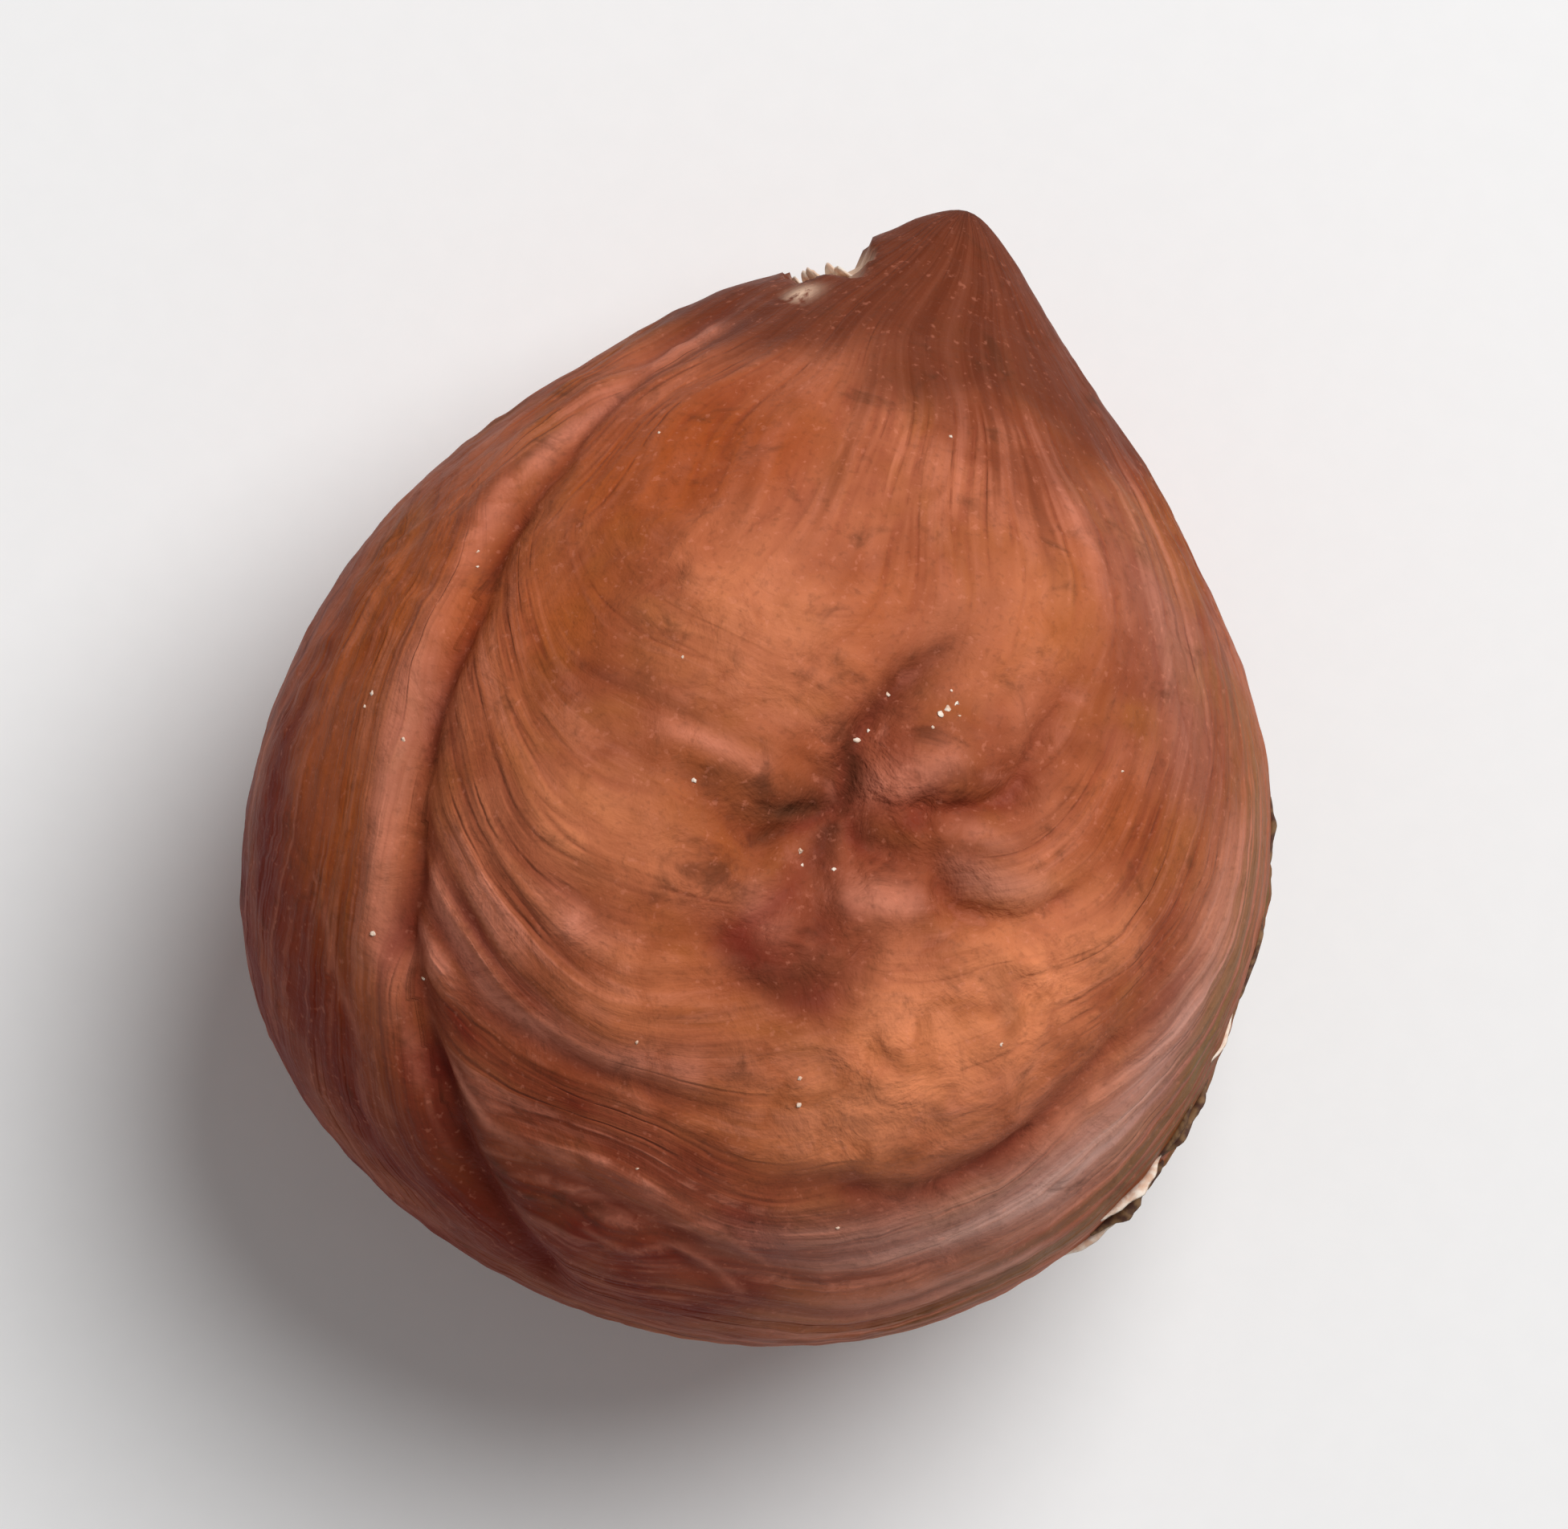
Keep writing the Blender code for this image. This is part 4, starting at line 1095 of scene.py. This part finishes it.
class HazelnutTones(bpy.types.PropertyGroup):
    """The colours of the skin, and how glossy it is."""

    brown: FloatVectorProperty(
        name="Brown", description="Deeper ground colour of the skin",
        subtype="COLOR", default=linear(142, 71, 44), min=0.0, max=1.0,
    )
    chestnut: FloatVectorProperty(
        name="Chestnut", description="Colour of the tip and of the darker streaks",
        subtype="COLOR", default=linear(104, 48, 28), min=0.0, max=1.0,
    )
    tan: FloatVectorProperty(
        name="Tan", description="Lighter ground colour of the skin",
        subtype="COLOR", default=linear(178, 101, 70), min=0.0, max=1.0,
    )
    golden: FloatVectorProperty(
        name="Golden", description="Yellower colour that clouds the ground",
        subtype="COLOR", default=linear(156, 88, 42), min=0.0, max=1.0,
    )
    amber: FloatVectorProperty(
        name="Amber", description="Darker yellow brown of the crescent lobe and of the tip's left shoulder",
        subtype="COLOR", default=linear(180, 90, 36), min=0.0, max=1.0,
    )
    # the painted highlights on the bulges, and warmer skin in a few places
    orange: FloatVectorProperty(
        name="Orange", description="Colour where the skin is thin and bright",
        subtype="COLOR", default=linear(226, 138, 94), min=0.0, max=1.0,
    )
    # also the painted sheen of the rims, the lobe's edge and lump tops
    mauve: FloatVectorProperty(
        name="Mauve", description="Colour of the dull bands",
        subtype="COLOR", default=linear(214, 168, 154), min=0.0, max=1.0,
    )
    # pale random streaks and pores, and the painted sheen on crests and ridges
    blush_and_sheen: FloatVectorProperty(
        name="Blush", description="Colour of the rubbed crests",
        subtype="COLOR", default=linear(228, 143, 116), min=0.0, max=1.0,
    )
    # the painted shade in folds, valleys, the hollow and round the left rim
    maroon: FloatVectorProperty(
        name="Maroon", description="Colour in the furrows",
        subtype="COLOR", default=linear(111, 31, 25), min=0.0, max=1.0,
    )
    umber: FloatVectorProperty(
        name="Umber", description="Colour of stains and dark fibres",
        subtype="COLOR", default=linear(76, 44, 28), min=0.0, max=1.0,
    )
    dry: FloatVectorProperty(
        name="Dry skin", description="Colour of the patch of dry outer skin",
        subtype="COLOR", default=linear(128, 96, 62), min=0.0, max=1.0,
    )
    cream: FloatVectorProperty(
        name="Cream", description="Colour of crumbs and of the flesh where the skin is torn",
        subtype="COLOR", default=linear(242, 228, 212), min=0.0, max=1.0,
    )
    straw: FloatVectorProperty(
        name="Straw", description="Darker colour of the flesh",
        subtype="COLOR", default=linear(222, 186, 160), min=0.0, max=1.0,
    )
    gloss: FloatProperty(
        name="Gloss", description="Roughness of the smooth skin", default=0.48, min=0.0, max=1.0,
    )
    dull: FloatProperty(
        name="Dull", description="Roughness of the dry and mauve skin", default=0.62, min=0.0, max=1.0,
    )


class HazelnutStage(bpy.types.PropertyGroup):
    """The floor, the lights and the camera's place."""

    floor_colour: FloatVectorProperty(
        name="Floor", description="Colour of the floor",
        subtype="COLOR", default=linear(244, 244, 244), min=0.0, max=1.0,
    )
    sky: FloatProperty(name="Sky", description="Strength of the even light from all round", default=0.245, min=0.0)
    key: FloatProperty(
        name="Key", description="Power of the large soft light", default=1.21, min=0.0, unit="POWER",
    )
    lean: FloatProperty(
        name="Lean", description="How far the nut leans clockwise in the picture",
        default=np.radians(16.4), subtype="ANGLE",
    )
    view_height: FloatProperty(
        name="View", description="Height of the floor that the picture takes in",
        default=21.5 * MM, unit="LENGTH", precision=5,
    )


class HAZELNUT_OT_kernel(bpy.types.Operator):
    """Add the kernel with its finished skin in place of the frame's plain solid"""

    bl_idname = "hazelnut.kernel"
    bl_label = "Kernel"

    def execute(self, context):
        relief = context.scene.hazelnut_relief
        bm = ball(relief.cells)
        directions = np.array([vertex.co for vertex in bm.verts])
        kernel = show("hazelnut_kernel", bm, skin_material(context.scene.hazelnut_tones))
        points, tones, flows = finished_skin(directions, relief)
        mesh = kernel.data
        placed = seated(np.vstack((points, np.zeros(3))))
        mesh.vertices.foreach_set("co", placed[:-1].ravel())
        kernel["middle"] = placed[-1].tolist()
        for name, values in tones.items():
            mesh.attributes.new(name, "FLOAT", "POINT").data.foreach_set("value", values)
        for name, vectors in flows.items():
            mesh.attributes.new(name, "FLOAT_VECTOR", "POINT").data.foreach_set("vector", vectors.ravel())
        mesh.update()
        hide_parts("kernel")
        return {"FINISHED"}


class HAZELNUT_OT_crumbs(bpy.types.Operator):
    """Add the pale crumbs that lie on the kernel"""

    bl_idname = "hazelnut.crumbs"
    bl_label = "Crumbs"

    def execute(self, context):
        kernel = finished_kernel()
        middle = Vector(kernel["middle"])
        bm = bmesh.new()
        for index, (x, y, size) in enumerate(CRUMBS):
            start = middle + Vector((x, y, 12.0)) * MM
            place, normal = met(kernel, start, Vector((0.0, 0.0, -1.0)))
            turn = normal.to_track_quat("Z", "Y").to_matrix().to_4x4()
            spin = Matrix.Rotation(2.4 * index, 4, "Z")
            shape = Matrix.Diagonal((size * MM, 0.75 * size * MM, 0.55 * size * MM, 1.0))
            made = bmesh.ops.create_icosphere(
                bm, subdivisions=2, radius=0.5, matrix=Matrix.Translation(place) @ turn @ spin @ shape
            )
            for vertex in made["verts"]:
                vertex.co += 0.4 * size * MM * noise.noise_vector(vertex.co / (0.5 * size * MM))
        show("crumbs", bm, flesh_material(context.scene.hazelnut_tones))
        return {"FINISHED"}


class HAZELNUT_OT_slivers(bpy.types.Operator):
    """Add the loose slivers of skin at the rim and the torn bits at the notch"""

    bl_idname = "hazelnut.slivers"
    bl_label = "Slivers"

    def execute(self, context):
        kernel = finished_kernel()
        tones = context.scene.hazelnut_tones
        bm = bmesh.new()
        for sliver in SLIVERS:
            add_sliver(bm, kernel, sliver)
        show("loose_slivers", bm, husk_material(tones), flesh_material(tones))
        return {"FINISHED"}


class HAZELNUT_OT_stage(bpy.types.Operator):
    """Add a pale floor, soft studio light and the camera straight above"""

    bl_idname = "hazelnut.stage"
    bl_label = "Stage"

    def execute(self, context):
        stage = context.scene.hazelnut_stage
        bm = bmesh.new()
        bmesh.ops.create_circle(bm, cap_ends=True, radius=1.5, segments=96)
        mesh = bpy.data.meshes.new("floor")
        bm.to_mesh(mesh)
        bm.free()
        mesh.materials.append(floor_material(stage))
        floor = bpy.data.objects.new("floor", mesh)
        context.scene.collection.objects.link(floor)

        world = bpy.data.worlds.new("soft light")
        world.use_nodes = True
        backdrop = world.node_tree.nodes["Background"]
        backdrop.inputs["Color"].default_value = (1.0, 1.0, 1.0, 1.0)
        backdrop.inputs["Strength"].default_value = stage.sky
        context.scene.world = world
        context.scene.view_settings.view_transform = "Standard"

        up = Vector((-np.sin(stage.lean), np.cos(stage.lean), 0.0))
        right = Vector((np.cos(stage.lean), np.sin(stage.lean), 0.0))
        lamp = bpy.data.lights.new("key", "AREA")
        lamp.shape = "DISK"
        lamp.size = 0.24
        lamp.energy = stage.key
        key = bpy.data.objects.new("key", lamp)
        key.location = 0.24 * (up * 0.6 + right * 0.55) + Vector((0.0, 0.0, 0.30))
        key.rotation_euler = key.location.to_track_quat("Z", "Y").to_euler()
        key.visible_camera = False
        context.scene.collection.objects.link(key)

        lens = bpy.data.cameras.new("camera")
        lens.sensor_width = 36.0
        camera = bpy.data.objects.new("camera", lens)
        distance = 0.4
        width = stage.view_height * 1952 / 1904
        lens.lens = lens.sensor_width * distance / width
        lens.clip_start = 0.01
        camera.location = (0.0, 0.0, distance + 6.0 * MM)
        camera.rotation_euler = (0.0, 0.0, stage.lean)
        context.scene.collection.objects.link(camera)
        context.scene.camera = camera
        return {"FINISHED"}


class HAZELNUT_PT_panel(bpy.types.Panel):
    """The steps and sizes of the hazelnut"""

    bl_idname = "HAZELNUT_PT_panel"
    bl_label = "Hazelnut"
    bl_space_type = "VIEW_3D"
    bl_region_type = "UI"
    bl_category = "Hazelnut"

    def draw(self, context):
        for operator in OPERATORS:
            self.layout.operator(operator.bl_idname)
        for group in (context.scene.hazelnut_relief, context.scene.hazelnut_tones, context.scene.hazelnut_stage):
            box = self.layout.box()
            for name in group.__annotations__:
                box.prop(group, name)


GROUPS = {
    "hazelnut_relief": HazelnutRelief,
    "hazelnut_tones": HazelnutTones,
    "hazelnut_stage": HazelnutStage,
}
OPERATORS = (HAZELNUT_OT_kernel, HAZELNUT_OT_crumbs, HAZELNUT_OT_slivers, HAZELNUT_OT_stage)


def register():
    for name, group in GROUPS.items():
        bpy.utils.register_class(group)
        setattr(bpy.types.Scene, name, PointerProperty(type=group))
    for kind in (*OPERATORS, HAZELNUT_PT_panel):
        bpy.utils.register_class(kind)


def unregister():
    for kind in (HAZELNUT_PT_panel, *reversed(OPERATORS)):
        bpy.utils.unregister_class(kind)
    for name, group in reversed(GROUPS.items()):
        delattr(bpy.types.Scene, name)
        bpy.utils.unregister_class(group)


def main():
    register()
    bpy.ops.hazelnut.kernel()
    bpy.ops.hazelnut.crumbs()
    bpy.ops.hazelnut.slivers()
    bpy.ops.hazelnut.stage()


if __name__ == "__main__":
    main()
